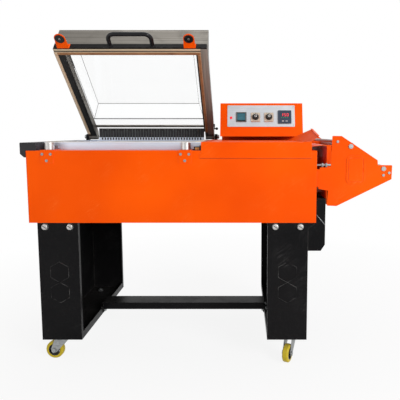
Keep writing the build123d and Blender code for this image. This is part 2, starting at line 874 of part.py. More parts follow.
with BuildPart() as hinge_pins:
    for x, foot, direction in bracket_spots:
        outer = x if direction < 0 else x + bracket_width
        inner = hood_left + rail_left_width - 2.0 if direction < 0 else hood_right - rail_right_width + 2.0
        disc(across(outer), (hinge_y, hinge_z), pin_radius, inner - outer)
        disc(across(outer), (hinge_y, hinge_z), pin_knob_radius, direction * pin_knob_length)
    chamfer(
        hinge_pins.edges().filter_by(GeomType.CIRCLE).filter_by(lambda e: abs(e.radius - pin_knob_radius) < 0.01),
        length=1.0,
    )
save(hinge_pins, "hinge_pins")

# Electromagnets on their brackets at the front edge

with BuildPart() as magnet_brackets:
    for x in magnet_x:
        side_x = (x - plate_width / 2, x + plate_width / 2)
        block(facing(front), side_x, (body_top - plate_drop, magnet_foot), plate_sheet)
        block(level(body_top), side_x, (front - plate_sheet, frame_front - rest_gap), plate_sheet)
        for u, v in magnet_screws:
            disc(facing(front), (x + u, body_top + v), screw_pilot, plate_sheet, Mode.SUBTRACT)
    fillet(
        magnet_brackets.edges().filter_by(Axis.Y).group_by(Axis.Z)[0], radius=4.0,
    )
save(magnet_brackets, "magnet_brackets")

with BuildPart() as electromagnets:
    for x in magnet_x:
        disc(level(magnet_foot), (x, magnet_y), magnet_radius, worktop - magnet_foot)
        ring(level(worktop), (x, magnet_y), 12.5, 8.0, -1.2, Mode.SUBTRACT)
        disc(level(worktop), (x, magnet_y), 2.4, -5.0, Mode.SUBTRACT)
    chamfer(electromagnets.edges().group_by(Axis.Z)[0], length=1.0)
save(electromagnets, "electromagnets")

# Pan-head screws of the magnet brackets


def pan_screw(plane, place, grip):
    """Pan head on a plane with its shank going back through the grip."""
    disc(plane, place, screw_radius, screw_height)
    disc(plane, place, screw_pilot, -grip)
    with BuildSketch(plane.offset(screw_height)) as shape:
        with Locations(place):
            Rectangle(2 * screw_pilot + 1.5, 0.9)
            Rectangle(0.9, 2 * screw_pilot + 1.5)
    extrude(shape.sketch, amount=-0.9, mode=Mode.SUBTRACT)


with BuildPart() as pan_screws:
    for x in magnet_x:
        for u, v in magnet_screws:
            pan_screw(facing(front - plate_sheet), (x + u, body_top + v), plate_sheet)
save(pan_screws, "pan_screws")

# Limit switch on the deck beside the right magnet, with its sprung lever

switch_top = body_top + switch_height
with BuildPart() as limit_switch:
    block(
        level(body_top), (switch_x, switch_x + switch_length), (switch_y, switch_y + switch_width),
        switch_height,
    )
    fillet(limit_switch.edges().filter_by(Axis.Z), radius=1.0)
    block(
        level(body_top), (switch_x - 5.0, switch_x), (switch_y + 2.0, switch_y + switch_width - 2.0), 6.0,
    )
    for u in (5.0, switch_length - 5.0):
        disc(facing(switch_y), (switch_x + u, body_top + 4.5), 1.6, -1.0, Mode.SUBTRACT)
    for y in (switch_y + 1.0, switch_y + switch_width - 3.0):
        block(
            level(switch_top), (switch_x + switch_length - 6.0, switch_x + switch_length - 1.0), (y, y + 2.0),
            3.6,
        )
    disc(
        facing(switch_y), (switch_x + switch_length - 3.5, switch_top + 2.0), lever_pivot, -switch_width,
    )
save(limit_switch, "limit_switch")

with BuildPart() as switch_lever:
    pivot_x = switch_x + switch_length - 3.5
    pivot_z = switch_top + 2.0
    inner_gap = (switch_y + 3.2, switch_y + switch_width - 3.2)
    with BuildSketch(facing(inner_gap[0])):
        with BuildLine():
            Polyline(
                (pivot_x + 1.8, pivot_z - 1.5), (pivot_x + 1.8, pivot_z + 2.4),
                (pivot_x - lever_length, pivot_z + 8.0), (pivot_x - lever_length - 3.0, pivot_z + 7.0),
                (pivot_x - lever_length, pivot_z + 6.6), (pivot_x - 3.0, pivot_z + 1.6),
                (pivot_x - 1.8, pivot_z - 1.5), close=True,
            )
        make_face()
    extrude(amount=-(inner_gap[1] - inner_gap[0]))
    disc(
        facing(inner_gap[0]), (pivot_x, pivot_z), lever_pivot + running_gap,
        -(inner_gap[1] - inner_gap[0]), Mode.SUBTRACT,
    )
save(switch_lever, "switch_lever")

# Hood frame: side rails, tall front wall with a folded top edge, and a thin rear bar

with BuildPart() as hood_frame:
    rails = (
        (hood_left, hood_left + rail_left_width),
        (hood_right - rail_right_width, hood_right),
    )
    for x0, x1 in rails:
        with BuildSketch(hood_section(x1)):
            with BuildLine():
                Polyline(
                    (-4.0, rail_level), (hood_reach, rail_level), (hood_reach, wall_top - 4.0),
                    (hood_reach - wall_return, wall_top - 4.0), (hood_reach - 60.0, rail_top + 8.0),
                    (hood_reach - 110.0, rail_top), (12.0, rail_top), (-4.0, rail_top - 14.0), close=True,
                )
            make_face()
            Circle(ear_radius)
        extrude(amount=x1 - x0)
    for x0, x1 in rails:
        with BuildSketch(hood_section(x1 - hood_sheet)):
            with BuildLine():
                Polyline(
                    (30.0, rail_level + hood_sheet), (hood_reach - hood_sheet, rail_level + hood_sheet),
                    (hood_reach - hood_sheet, wall_top + 2.0), (hood_reach - wall_return - 4.0, wall_top + 2.0),
                    (hood_reach - 61.0, rail_top + 6.0), (hood_reach - 110.0, rail_top - hood_sheet),
                    (30.0, rail_top - hood_sheet), close=True,
                )
            make_face()
        extrude(amount=x1 - x0 - 2 * hood_sheet, mode=Mode.SUBTRACT)
    block(
        hood_face(hood_reach - hood_sheet), (hood_left, hood_right), (rail_level, wall_top), hood_sheet,
    )
    block(
        hood_flat(wall_top - hood_sheet), (hood_left, hood_right),
        (-hood_reach, -hood_reach + wall_return), hood_sheet,
    )
    block(
        hood_flat(rail_level), (rails[0][0], rails[1][1]), (-hood_reach, -hood_reach + 20.0), hood_sheet,
    )
    block(
        hood_flat(rail_top - 8.0), (rails[0][1] - 1.0, rails[1][0] + 1.0),
        (-rear_bar_a - rear_bar_width, -rear_bar_a), 8.0,
    )
    for x0, x1 in rails:
        disc(hood_section(x1), (0, 0), pin_radius + running_gap, x1 - x0, Mode.SUBTRACT)
save(hood_frame, "hood_frame")

# Clear window: a raised blister with sloping ends on a flat flange

with BuildPart() as hood_window:
    window_x = (rails[0][1] - window_flange, rails[1][0] + window_flange)
    clear_x = (rails[0][1] + window_fit, rails[1][0] - window_fit)
    window_front = hood_reach - hood_sheet - 0.3
    with BuildSketch(hood_flat(rail_top)):
        with BuildLine():
            Polyline(
                (clear_x[0], -window_front), (clear_x[1], -window_front), (clear_x[1], -window_step_a),
                (clear_x[0], -window_step_a), close=True,
            )
        make_face()
    with BuildSketch(hood_flat(window_top)):
        with BuildLine():
            Polyline(
                (clear_x[0] + window_slope, -window_front), (clear_x[1] - window_slope, -window_front),
                (clear_x[1] - window_slope, -window_top_a), (clear_x[0] + window_slope, -window_top_a),
                close=True,
            )
        make_face()
    loft()
    with BuildSketch(hood_flat(rail_top - rest_gap)):
        with BuildLine():
            Polyline(
                (clear_x[0] + window_sheet + 0.6, -window_front - 1.0),
                (clear_x[1] - window_sheet - 0.6, -window_front - 1.0),
                (clear_x[1] - window_sheet - 0.6, -window_step_a - window_sheet - 1.0),
                (clear_x[0] + window_sheet + 0.6, -window_step_a - window_sheet - 1.0), close=True,
            )
        make_face()
    with BuildSketch(hood_flat(window_top - window_sheet)):
        with BuildLine():
            Polyline(
                (clear_x[0] + window_slope + window_sheet - 0.8, -window_front - 1.0),
                (clear_x[1] - window_slope - window_sheet + 0.8, -window_front - 1.0),
                (clear_x[1] - window_slope - window_sheet + 0.8, -window_top_a - window_sheet + 0.6),
                (clear_x[0] + window_slope + window_sheet - 0.8, -window_top_a - window_sheet + 0.6),
                close=True,
            )
        make_face()
    loft(mode=Mode.SUBTRACT)
    with BuildSketch(hood_flat(rail_top)):
        with BuildLine():
            Polyline(
                (window_x[0], -hood_reach + 120.0), (window_x[1], -hood_reach + 120.0),
                (window_x[1], -rear_bar_a), (window_x[0], -rear_bar_a), close=True,
            )
        make_face()
        with BuildLine():
            Polyline(
                (clear_x[0] + window_sheet, -hood_reach), (clear_x[1] - window_sheet, -hood_reach),
                (clear_x[1] - window_sheet, -window_step_a - window_sheet),
                (clear_x[0] + window_sheet, -window_step_a - window_sheet), close=True,
            )
        make_face(mode=Mode.SUBTRACT)
    extrude(amount=window_sheet)
save(hood_window, "hood_window")

# Black rail along the bottom of the front wall

with BuildPart() as hood_front_rail:
    block(
        hood_face(hood_reach), (hood_left + 4.0, hood_right - 2.0),
        (rail_level, rail_level + front_rail_height), front_rail_depth,
    )
    fillet(hood_front_rail.edges().filter_by(Axis.X), radius=1.2)
save(hood_front_rail, "hood_front_rail")

# Sealing bars under the front, the right and the left rail: carrier with a narrower band

with BuildPart() as seal_bars:
    bar_a = (hood_reach - 14.0 - bar_width, hood_reach - 14.0)
    spans = (
        ((hood_left, seal_right), (-bar_a[1], -bar_a[0])),
        ((seal_right - bar_width, seal_right), (-bar_a[0] + 1.0, -42.0)),
        ((hood_left, hood_left + bar_width), (-bar_a[0] + 1.0, -30.0)),
    )
    for x_span, y_span in spans:
        block(hood_flat(rail_level), x_span, y_span, -(bar_height - 2.0))
        block(
            hood_flat(rail_level - bar_height + 2.0), (x_span[0] + 2.5, x_span[1] - 2.5),
            (y_span[0] + 2.5, y_span[1] - 2.5), -2.0,
        )
save(seal_bars, "seal_bars")

# Handle: bent round bar on two round feet

with BuildPart() as hood_handle:
    handle_x = (hood_left + hood_right) / 2
    base_a = hood_reach + front_rail_depth
    middle_b = rail_level + front_rail_height / 2
    handle_plane = hood_flat(middle_b)
    half = handle_width / 2 - handle_radius
    tip = -(base_a + handle_reach - handle_radius)
    with BuildLine(handle_plane):
        FilletPolyline(
            (handle_x - half, -base_a), (handle_x - half, tip), (handle_x + half, tip),
            (handle_x + half, -base_a), radius=handle_bend,
        )
    with BuildSketch(Plane(origin=handle_plane.from_local_coords((handle_x - half, -base_a, 0)),
                           x_dir=(1, 0, 0), z_dir=hood_forward)):
        Circle(handle_radius)
    sweep()
    for x in (handle_x - half, handle_x + half):
        with BuildSketch(hood_face(base_a)):
            with Locations((x, middle_b)):
                SlotOverall(2 * handle_foot_radius, front_rail_height - 2.0, rotation=0)
        extrude(amount=handle_foot_height, taper=8)
save(hood_handle, "hood_handle")

# Armature brackets and discs that meet the magnets

with BuildPart() as armature_brackets:
    plate_b = worktop + rest_gap - hinge_z + disc_height
    for x in magnet_x:
        with BuildSketch(hood_flat(plate_b)):
            with BuildLine():
                Polyline(
                    (x - plate_width / 2, -base_a), (x + plate_width / 2, -base_a),
                    (x + disc_radius + 3.0, -disc_a), (x - disc_radius - 3.0, -disc_a), close=True,
                )
            make_face()
            with Locations((x, -disc_a)):
                Circle(disc_radius + 3.0)
        extrude(amount=armature_sheet)
        block(
            hood_face(base_a), (x - plate_width / 2, x + plate_width / 2),
            (plate_b, rail_level + armature_foot), armature_sheet,
        )
        disc(hood_flat(plate_b), (x, -disc_a), 3.0, armature_sheet, Mode.SUBTRACT)
save(armature_brackets, "armature_brackets")

with BuildPart() as armature_discs:
    for x in magnet_x:
        disc(hood_flat(plate_b), (x, -disc_a), disc_radius, -disc_height)
        disc(hood_flat(plate_b), (x, -disc_a), 3.0, armature_sheet + 4.0)
        disc(hood_flat(plate_b - disc_height), (x, -disc_a), 4.5, 1.5, Mode.SUBTRACT)
        ring(hood_flat(plate_b + armature_sheet), (x, -disc_a), 5.5, 3.0, 3.5)
    chamfer(
        armature_discs.edges().filter_by(GeomType.CIRCLE).filter_by(lambda e: abs(e.radius - disc_radius) < 0.01),
        length=0.8,
    )
save(armature_discs, "armature_discs")

# Small stay lever with a round knob on the outside of the right rail

with BuildPart() as hood_stay_lever:
    stay_a, stay_b = 62.0, 14.0
    stay_plane = Plane(
        origin=hood_point(hood_right, stay_a, stay_b), x_dir=hood_forward, z_dir=(1, 0, 0)
    )
    disc(stay_plane, (0, 0), 6.0, 5.0)
    with BuildSketch(stay_plane.offset(2.0)):
        with BuildLine():
            Polyline((-4.0, -4.0), (4.0, -4.0), (3.0, 22.0), (-3.0, 22.0), close=True)
        make_face()
    extrude(amount=3.0)
    knob_plane = stay_plane.offset(5.0)
    disc(knob_plane, (0, 20.0), 3.0, 6.0)
    with Locations(knob_plane.from_local_coords((0, 20.0, 9.0))):
        Sphere(6.0)
save(hood_stay_lever, "hood_stay_lever")

# Film table: cover of the right half with a front skirt

with BuildPart() as film_table:
    table_rear = front + 606.0
    block(
        level(body_top), (table_left, table_right), (front, table_rear), table_top - body_top,
    )
    block(
        facing(front), (skirt_left, table_right), (skirt_bottom, table_top), casing_sheet,
    )
    block(
        level(body_top), (table_left + casing_sheet, table_right - casing_sheet),
        (front, table_rear - casing_sheet), table_top - body_top - casing_sheet, Mode.SUBTRACT,
    )
    block(
        facing(front), (skirt_left - 1.0, table_left), (body_top - 10.0, table_top + 1.0), casing_sheet,
        Mode.SUBTRACT,
    )
    fillet(
        film_table.edges().filter_by(Axis.X).group_by(Axis.Z)[-1].group_by(Axis.Y)[0],
        radius=casing_sheet * 0.8,
    )
save(film_table, "film_table")

# Bent-up wing at the table's right end: foot on the table, flap rising outwards


def wing_points():
    """Corners of the flap: along the fold, then along the raised edge."""
    (ax, ay), (tx, ty) = wing_fold
    run = (ax + wing_run, ay, table_top + wing_rise)
    tail_x = ax + wing_tail_share * (tx - ax) + wing_run
    tail = (tail_x, ay + wing_tail_share * (ty - ay), table_top + wing_rise)
    return (ax, ay, table_top), run, tail, (tx, ty, table_top)


with BuildPart() as film_wing:
    corner_a, corner_b, corner_c, corner_t = wing_points()
    across_fold = Vector(*corner_t) - Vector(*corner_a)
    up_flap = Vector(*corner_b) - Vector(*corner_a)
    flap = Plane(origin=corner_a, x_dir=across_fold, z_dir=across_fold.cross(up_flap) * -1)
    flap_points = [flap.to_local_coords(Vector(*p)) for p in (corner_a, corner_b, corner_c, corner_t)]
    outline(flap, [(p.X, p.Y) for p in flap_points], trim_sheet)
    foot_shift = -wing_foot
    outline(
        level(table_top),
        [
            (corner_a[0] - wing_relief, corner_a[1]), (corner_t[0] - wing_relief, corner_t[1]),
            (corner_t[0] - wing_foot, corner_t[1]), (corner_a[0] - wing_foot, corner_a[1]),
        ],
        trim_sheet,
    )
save(film_wing, "film_wing")

# Control box: hollow housing over the table with a film slot beneath it

box_profile = [
    (box_front, box_under), (box_break, box_knee), (box_crest, box_top), (box_rear, box_top),
    (box_rear, table_top), (box_leg, table_top), (box_leg, box_under),
]
with BuildPart() as control_box:
    outline(across(box_left), box_profile, box_right - box_left)
    fillet(control_box.edges().filter_by(Axis.X).group_by(Axis.Z)[-1], radius=5.0)
    s = casing_sheet
    inner_profile = [
        (box_front + 2 * s, box_under - 1.0), (box_front + 2 * s, box_under + 2.0),
        (box_break + 1.3 * s, box_knee), (box_crest + 1.3 * s, box_top - s),
        (box_rear - s, box_top - s), (box_rear - s, table_top - 1.0), (box_leg + s, table_top - 1.0),
        (box_leg + s, box_under - 1.0),
    ]
    outline(across(box_left + s), inner_profile, box_right - box_left - 2 * s, Mode.SUBTRACT)
    block(
        level(box_under), (box_left + s, box_right - s), (box_front + s, box_leg + s), s,
    )
    block(across(box_left), (box_leg, box_leg + s), (table_top, box_under + s), box_right - box_left)
    block(
        on_panel(0, 0, 1.0),
        (-panel_width / 2 + panel_window_margin, panel_width / 2 - panel_window_margin),
        (-panel_height / 2 + panel_window_margin, panel_height / 2 - panel_window_margin), -8.0,
        Mode.SUBTRACT,
    )
    with BuildSketch(facing(box_rear)):
        with Locations(((box_left + box_right) / 2, (box_top + table_top) / 2)):
            with GridLocations(16.0, 0.0, 12, 1):
                SlotOverall(60.0, 6.0, rotation=90)
    extrude(amount=2 * s, mode=Mode.SUBTRACT)
save(control_box, "control_box")

# Control panel plate with its cut-outs

with BuildPart() as control_panel:
    with BuildSketch(on_panel(0, 0)):
        RectangleRounded(panel_width, panel_height, 3.0)
        with Locations(lamp_at):
            Circle(lamp_radius - 1.0, mode=Mode.SUBTRACT)
        with Locations(rocker_at):
            Rectangle(rocker_button[0] + 4.0, rocker_button[1] + 2.0, mode=Mode.SUBTRACT)
        with Locations(*timer_at):
            Circle(knob_shaft_radius + 4.0, mode=Mode.SUBTRACT)
        with Locations(thermostat_at):
            Rectangle(thermostat_size - 8.0, thermostat_size - 8.0, mode=Mode.SUBTRACT)
    extrude(amount=panel_sheet)
save(control_panel, "control_panel")

# Pilot lamp

with BuildPart() as pilot_lamp:
    disc(on_panel(*lamp_at, panel_sheet), (0, 0), lamp_radius, 2.0)
    disc(on_panel(*lamp_at, panel_sheet), (0, 0), lamp_radius - 1.2, -(panel_sheet + 8.0))
    with Locations(on_panel(*lamp_at, panel_sheet + 1.2).location):
        Sphere(lamp_radius - 1.2, arc_size1=0)
save(pilot_lamp, "pilot_lamp")

# Rocker switch: frame fixed in the panel, and the rocker tilting in it

rocker_surface = panel_sheet
with BuildPart() as rocker_frame:
    with BuildSketch(on_panel(*rocker_at, rocker_surface)):
        RectangleRounded(*rocker_size, 2.0)
        Rectangle(rocker_button[0] + 0.6, rocker_button[1] + 0.6, mode=Mode.SUBTRACT)
    extrude(amount=rocker_frame_height, taper=6)
    with BuildSketch(on_panel(*rocker_at, rocker_surface)):
        Rectangle(rocker_button[0] + 3.6, rocker_button[1] + 1.8)
        Rectangle(rocker_button[0] + 0.6, rocker_button[1] + 0.6, mode=Mode.SUBTRACT)
    extrude(amount=-16.0)
    block(
        on_panel(*rocker_at, rocker_surface - 16.0),
        (-rocker_button[0] / 2 - 1.8, rocker_button[0] / 2 + 1.8),
        (-rocker_button[1] / 2 - 0.9, rocker_button[1] / 2 + 0.9), -2.0,
    )
save(rocker_frame, "rocker_frame")

with BuildPart() as rocker:
    pivot = on_panel(*rocker_at, rocker_surface - 1.0)
    tilt = radians(rocker_tilt)
    up = Vector(0, pivot.y_dir.Y, pivot.y_dir.Z)
    out = Vector(0, pivot.z_dir.Y, pivot.z_dir.Z)
    tipped_out = out * cos(tilt) + up * sin(tilt)
    section = Plane(
        origin=pivot.from_local_coords((-rocker_button[0] / 2, 0, 0)), x_dir=tipped_out, z_dir=(-1, 0, 0)
    )
    reach = rocker_button[1] / 2 - 1.2
    with BuildSketch(section):
        with BuildLine():
            Polyline(
                (-rocker_depth, -5.0), (0.0, -reach), (5.5, -reach + 0.4), (3.2, 0.0),
                (5.5, reach - 0.4), (0.0, reach), (-rocker_depth, 5.0), close=True,
            )
        make_face()
    extrude(amount=-rocker_button[0])
save(rocker, "rocker")

# Timers: square faces with bodies behind the panel, and their turning knobs

with BuildPart() as timer_bodies:
    for u, v in timer_at:
        with BuildSketch(on_panel(u, v, panel_sheet)):
            RectangleRounded(timer_size, timer_size, 3.0)
        extrude(amount=timer_height, taper=5)
        disc(on_panel(u, v, panel_sheet), (0, 0), knob_shaft_radius + 3.0, -(panel_sheet + 2.0))
        block(
            on_panel(u, v, -2.0), (-timer_size / 2 + 3.0, timer_size / 2 - 3.0),
            (-timer_size / 2 + 3.0, timer_size / 2 - 3.0), -timer_body_depth,
        )
        disc(
            on_panel(u, v, panel_sheet + timer_height), (0, 0), knob_shaft_radius + running_gap, -12.0,
            Mode.SUBTRACT,
        )
save(timer_bodies, "timer_bodies")


def build_knob(name, place):
    base = on_panel(*place, panel_sheet + timer_height + 0.4)
    with BuildPart() as knob:
        disc(base, (0, 0), knob_radius, 2.5)
        with BuildSketch(base.offset(2.5)):
            Circle(knob_radius - 3.0)
        extrude(amount=knob_height - 2.5, taper=4)
        with BuildSketch(base.offset(2.5)):
            SlotOverall(2 * knob_radius - 5.0, 5.0, rotation=60)
        extrude(amount=knob_height - 1.5)
        with BuildSketch(base):
            with PolarLocations(knob_radius + 0.6, 16):
                Circle(1.6)
        extrude(amount=2.5, mode=Mode.SUBTRACT)
        disc(base, (0, 0), knob_shaft_radius, -9.0)
    save(knob, name)


build_knob("timer_knob_seal", timer_at[0])
build_knob("timer_knob_shrink", timer_at[1])

# Temperature controller with its display window and key wells

key_places = [(u, -thermostat_size / 2 + 9.0) for u in (-key_spacing / 2, key_spacing / 2)]
with BuildPart() as temp_controller:
    with BuildSketch(on_panel(*thermostat_at, panel_sheet)):
        RectangleRounded(thermostat_size, thermostat_size, 2.5)
    extrude(amount=thermostat_height, taper=6)
    block(
        on_panel(*thermostat_at, panel_sheet + thermostat_height), (-20.0, 20.0), (-6.0, 20.0), -1.2,
        Mode.SUBTRACT,
    )
    for u in (-12.0, 0.0, 12.0):
        block(
            on_panel(*thermostat_at, panel_sheet + thermostat_height - 1.2), (u - 4.5, u + 4.5), (1.0, 15.0),
            0.5,
        )
    block(
        on_panel(*thermostat_at, panel_sheet),
        (-thermostat_size / 2 + 4.0, thermostat_size / 2 - 4.0),
        (-thermostat_size / 2 + 4.0, thermostat_size / 2 - 4.0), -thermostat_depth,
    )
    with BuildSketch(on_panel(*thermostat_at, panel_sheet + thermostat_height)):
        with Locations(*key_places):
            Rectangle(key_size[0] + 0.4, key_size[1] + 0.4)
    extrude(amount=-4.0, mode=Mode.SUBTRACT)
save(temp_controller, "temp_controller")


def build_key(name, place):
    spot = on_panel(thermostat_at[0] + place[0], thermostat_at[1] + place[1],
                    panel_sheet + thermostat_height - 4.0 + key_travel + 0.2)
    with BuildPart() as key:
        with BuildSketch(spot):
            RectangleRounded(*key_size, 1.0)
        extrude(amount=4.0 - key_travel - 0.2 + key_height - 1.2)
        fillet(key.faces().sort_by(Axis(spot.origin, spot.z_dir))[-1].edges(), radius=0.5)
    save(key, name)


build_key("temp_key_down", key_places[0])
build_key("temp_key_up", key_places[1])

# Film cradle: two side plates with bent tabs, the bridge plate and the rollers


def cradle_plate(name, y, turned):
    """Side plate with its outer face at y; the tab bends the way turned points."""
    plane = facing(y)
    depth = -cradle_sheet
    with BuildPart() as plate:
        with BuildSketch(plane):
            with BuildLine():
                Polyline(*[(left + x, z) for x, z in cradle_outline], close=True)
            make_face()
        extrude(amount=depth)
        fillet(plate.edges().filter_by(Axis.Y), radius=cradle_corner / 2)
        block(plane, (right, left + 998.0), (642.0, 702.0), depth)
        y_low, y_high = sorted((y, y + turned * tab_bend))
        block(across(right), (y_low, y_high), (642.0, 702.0), cradle_sheet)
        for x, z, _ in roller_places.values():
            disc(plane, (left + x, z), journal_radius + running_gap, depth, Mode.SUBTRACT)
        for x, z in cradle_screws:
            disc(plane, (left + x, z), screw_pilot, depth, Mode.SUBTRACT)
        with BuildSketch(plane):
            with Locations((left + 1117.0, 700.0)):
                SlotOverall(86.0, 10.0, rotation=-58)
        extrude(amount=depth, mode=Mode.SUBTRACT)
    save(plate, name)


cradle_plate("cradle_front_plate", cradle_front, 1)
cradle_plate("cradle_rear_plate", cradle_rear, -1)

with BuildPart() as cradle_bridge:
    span_y = (cradle_front + cradle_sheet, cradle_rear)
    t = trim_sheet
    x_foot = guide_left
    x_face = left + cross_plate_x
    z_floor = guide_top - 4.0
    outline(
        facing(span_y[0]),
        [
            (x_foot, body_top), (x_foot, guide_top - 4.0), (left + 1012.0, guide_top),
            (x_face + t, guide_top - 3.0), (x_face + t, cross_plate_bottom), (left + 1032.0, cross_plate_bottom - t),
            (left + 1032.0, cross_plate_bottom - 2 * t), (x_face, cross_plate_bottom - 2 * t),
            (x_face, guide_top - 4.0 - t), (left + 1012.0, guide_top - t), (x_foot + t, guide_top - 4.0 - t),
            (x_foot + t, body_top),
        ],
        -(span_y[1] - span_y[0]),
    )
    for y in (span_y[0], span_y[1] - t):
        for x, z in cradle_screws[:1]:
            block(facing(y + t), (x_face, left + x + 8.0), (z - 12.0 - 20.0, z - 12.0), t)
save(cradle_bridge, "cradle_bridge")


def build_roller(name, x, z, radius):
    plane = facing(cradle_front - 3.0)
    inner_plane = facing(cradle_front + cradle_sheet + rest_gap)
    inner_length = cradle_rear - cradle_front - cradle_sheet - 2 * rest_gap
    whole = cradle_rear + cradle_sheet + 3.0 - (cradle_front - 3.0)
    with BuildPart() as roller:
        disc(plane, (left + x, z), journal_radius, -whole)
        disc(inner_plane, (left + x, z), radius, -inner_length)
        chamfer(
            roller.edges().filter_by(GeomType.CIRCLE).filter_by(lambda e: abs(e.radius - radius) < 0.01),
            length=1.5,
        )
        disc(facing(cradle_front - rest_gap), (left + x, z), journal_collar, 2.5)
        disc(facing(cradle_rear + cradle_sheet + 3.0), (left + x, z), journal_collar, 2.5)
    save(roller, name)


for roller_name, (roller_x, roller_z, roller_r) in roller_places.items():
    build_roller(roller_name, roller_x, roller_z, roller_r)

with BuildPart() as cradle_ties:
    inner_length = cradle_rear - cradle_front - cradle_sheet
    for x, z in cradle_screws:
        disc(facing(cradle_front + cradle_sheet), (left + x, z), 6.0, -inner_length)
        disc(facing(cradle_front), (left + x, z), screw_pilot, -cradle_sheet)
        disc(facing(cradle_front), (left + x, z), screw_radius, screw_height)
        disc(facing(cradle_rear + cradle_sheet), (left + x, z), screw_pilot, cradle_sheet)
        disc(facing(cradle_rear + cradle_sheet), (left + x, z), screw_radius, -screw_height)
save(cradle_ties, "cradle_ties")

# Electrical box on the right end, reaching down beside the leg

leg_out = right - leg_inset
with BuildPart() as electrical_box:
    step_z = body_bottom - 0.5
    ebox_points = [
        (leg_out, ebox_bottom), (left + ebox_out - 14.0, ebox_bottom), (left + ebox_out, ebox_bottom + 22.0),
        (left + ebox_out, ebox_top), (right, ebox_top), (right, step_z), (leg_out, step_z),
    ]
    outline(facing(ebox_front), ebox_points, -(ebox_rear - ebox_front))
    fillet(electrical_box.edges().filter_by(Axis.Y).group_by(Axis.Z)[-1].group_by(Axis.X)[-1], radius=3.0)
    w = casing_sheet
    ebox_hollow = [
        (leg_out + w, ebox_bottom + w), (left + ebox_out - 14.0 - w, ebox_bottom + w),
        (left + ebox_out - w, ebox_bottom + 23.0), (left + ebox_out - w, ebox_top - w),
        (right + w, ebox_top - w), (right + w, step_z - w), (leg_out + w, step_z - w),
    ]
    outline(facing(ebox_front + w), ebox_hollow, -(ebox_rear - ebox_front - 2 * w), Mode.SUBTRACT)
    disc(level(ebox_bottom), (left + 985.0, (ebox_front + ebox_rear) / 2), 9.0, w, Mode.SUBTRACT)
    ring(level(ebox_bottom), (left + 985.0, (ebox_front + ebox_rear) / 2), 12.0, 9.0, -8.0)
save(electrical_box, "electrical_box")
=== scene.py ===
# %% [markdown]
# # Dressing an L bar sealer
#
# The machine seals film with an L-shaped hot bar and shrinks it in the same chamber. Its solids come
# from CAD and stay exactly where they are. This lesson adds what solids can't say: powder coat, brushed
# and plated metal, clear acrylic, and the small fittings that a buyer would look for. Everything is in
# metres, and the solids already sit in their final place.

# %% Load the solids
import json
from math import atan2, cos, pi, radians, sin

import bmesh
import bpy
from mathutils import Matrix, Vector


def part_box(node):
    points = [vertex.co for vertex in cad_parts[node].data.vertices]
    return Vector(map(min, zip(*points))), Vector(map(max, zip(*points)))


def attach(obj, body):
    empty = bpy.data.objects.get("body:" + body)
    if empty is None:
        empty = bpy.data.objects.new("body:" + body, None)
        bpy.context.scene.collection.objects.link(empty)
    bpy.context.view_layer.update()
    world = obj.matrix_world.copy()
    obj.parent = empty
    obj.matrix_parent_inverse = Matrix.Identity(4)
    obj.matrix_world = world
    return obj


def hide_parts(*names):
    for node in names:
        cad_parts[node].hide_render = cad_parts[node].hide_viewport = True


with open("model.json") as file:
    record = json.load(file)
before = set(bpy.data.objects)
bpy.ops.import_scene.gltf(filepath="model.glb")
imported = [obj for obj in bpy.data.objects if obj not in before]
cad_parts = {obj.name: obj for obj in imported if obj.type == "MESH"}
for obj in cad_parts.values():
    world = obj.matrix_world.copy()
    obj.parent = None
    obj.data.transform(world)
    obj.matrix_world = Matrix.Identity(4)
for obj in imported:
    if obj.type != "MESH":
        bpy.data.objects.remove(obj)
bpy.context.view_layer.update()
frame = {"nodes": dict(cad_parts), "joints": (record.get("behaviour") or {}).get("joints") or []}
nodes = frame["nodes"]
bpy.ops.object.select_all(action="DESELECT")

# %% [markdown]
# ## Places on the machine
#
# A fitter measures from the casing's left front corner and from the floor, in millimetres. The hood
# leans back on its hinge, and the control panel leans too. New pieces are drawn where they are easy to
# measure, and one matrix each for casing, hood and panel takes them into place, which keeps every
# number readable.

# %% Measure from the casing, the hood and the panel
MM = 0.001
casing_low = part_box("body_shell")[0]
casing_place = Matrix.Translation((casing_low.x, casing_low.y, 0.0))
hinge_record = next(j for j in frame["joints"] if j["name"] == "hood_hinge")
hinge_back, hinge_height, hood_lean = 0.274, 0.808, radians(41.0)
leaning = Matrix.Rotation(-hood_lean, 4, "X")
hood_place = Matrix.Translation((casing_low.x, hinge_back, hinge_height)) @ leaning
foot_back, foot_height, head_back, head_height = 357.0, 844.5, 388.0, 948.0
panel_slope = atan2(head_back - foot_back, head_height - foot_height)
panel_x, half_panel = 808.5, 52.0
panel_back = foot_back + half_panel * sin(panel_slope)
panel_height = foot_height + half_panel * cos(panel_slope)
panel_centre = Matrix.Translation(Vector((panel_x, panel_back, panel_height)) * MM)
panel_place = casing_place @ panel_centre @ Matrix.Rotation(pi / 2 - panel_slope, 4, "X")
print("hinge:", [round(v, 3) for v in hood_place.translation], hinge_record["range_deg"])

# %% [markdown]
# ## Camera
#
# The photograph was taken from the operator's side, at about worktop height, a little right of the
# hood. A camera that looks slightly down and isn't turned sideways gives the same rows of uprights. The
# small shift frames the machine as the photograph does, without turning the camera.

# %% Stand the camera where the photographer stood
camera_place, looks_down = (0.125, -1.872, 0.826), 5.96
bpy.ops.object.camera_add(location=camera_place, rotation=(radians(90 - looks_down), 0, 0))
camera = bpy.context.object
camera.name = "camera"
camera.data.lens = 41.8
camera.data.sensor_width = 36.0
camera.data.shift_x = -0.1095
camera.data.shift_y = -0.047
camera.data.clip_end = 60.0
bpy.context.scene.camera = camera
print("camera:", [round(v, 3) for v in camera.location])

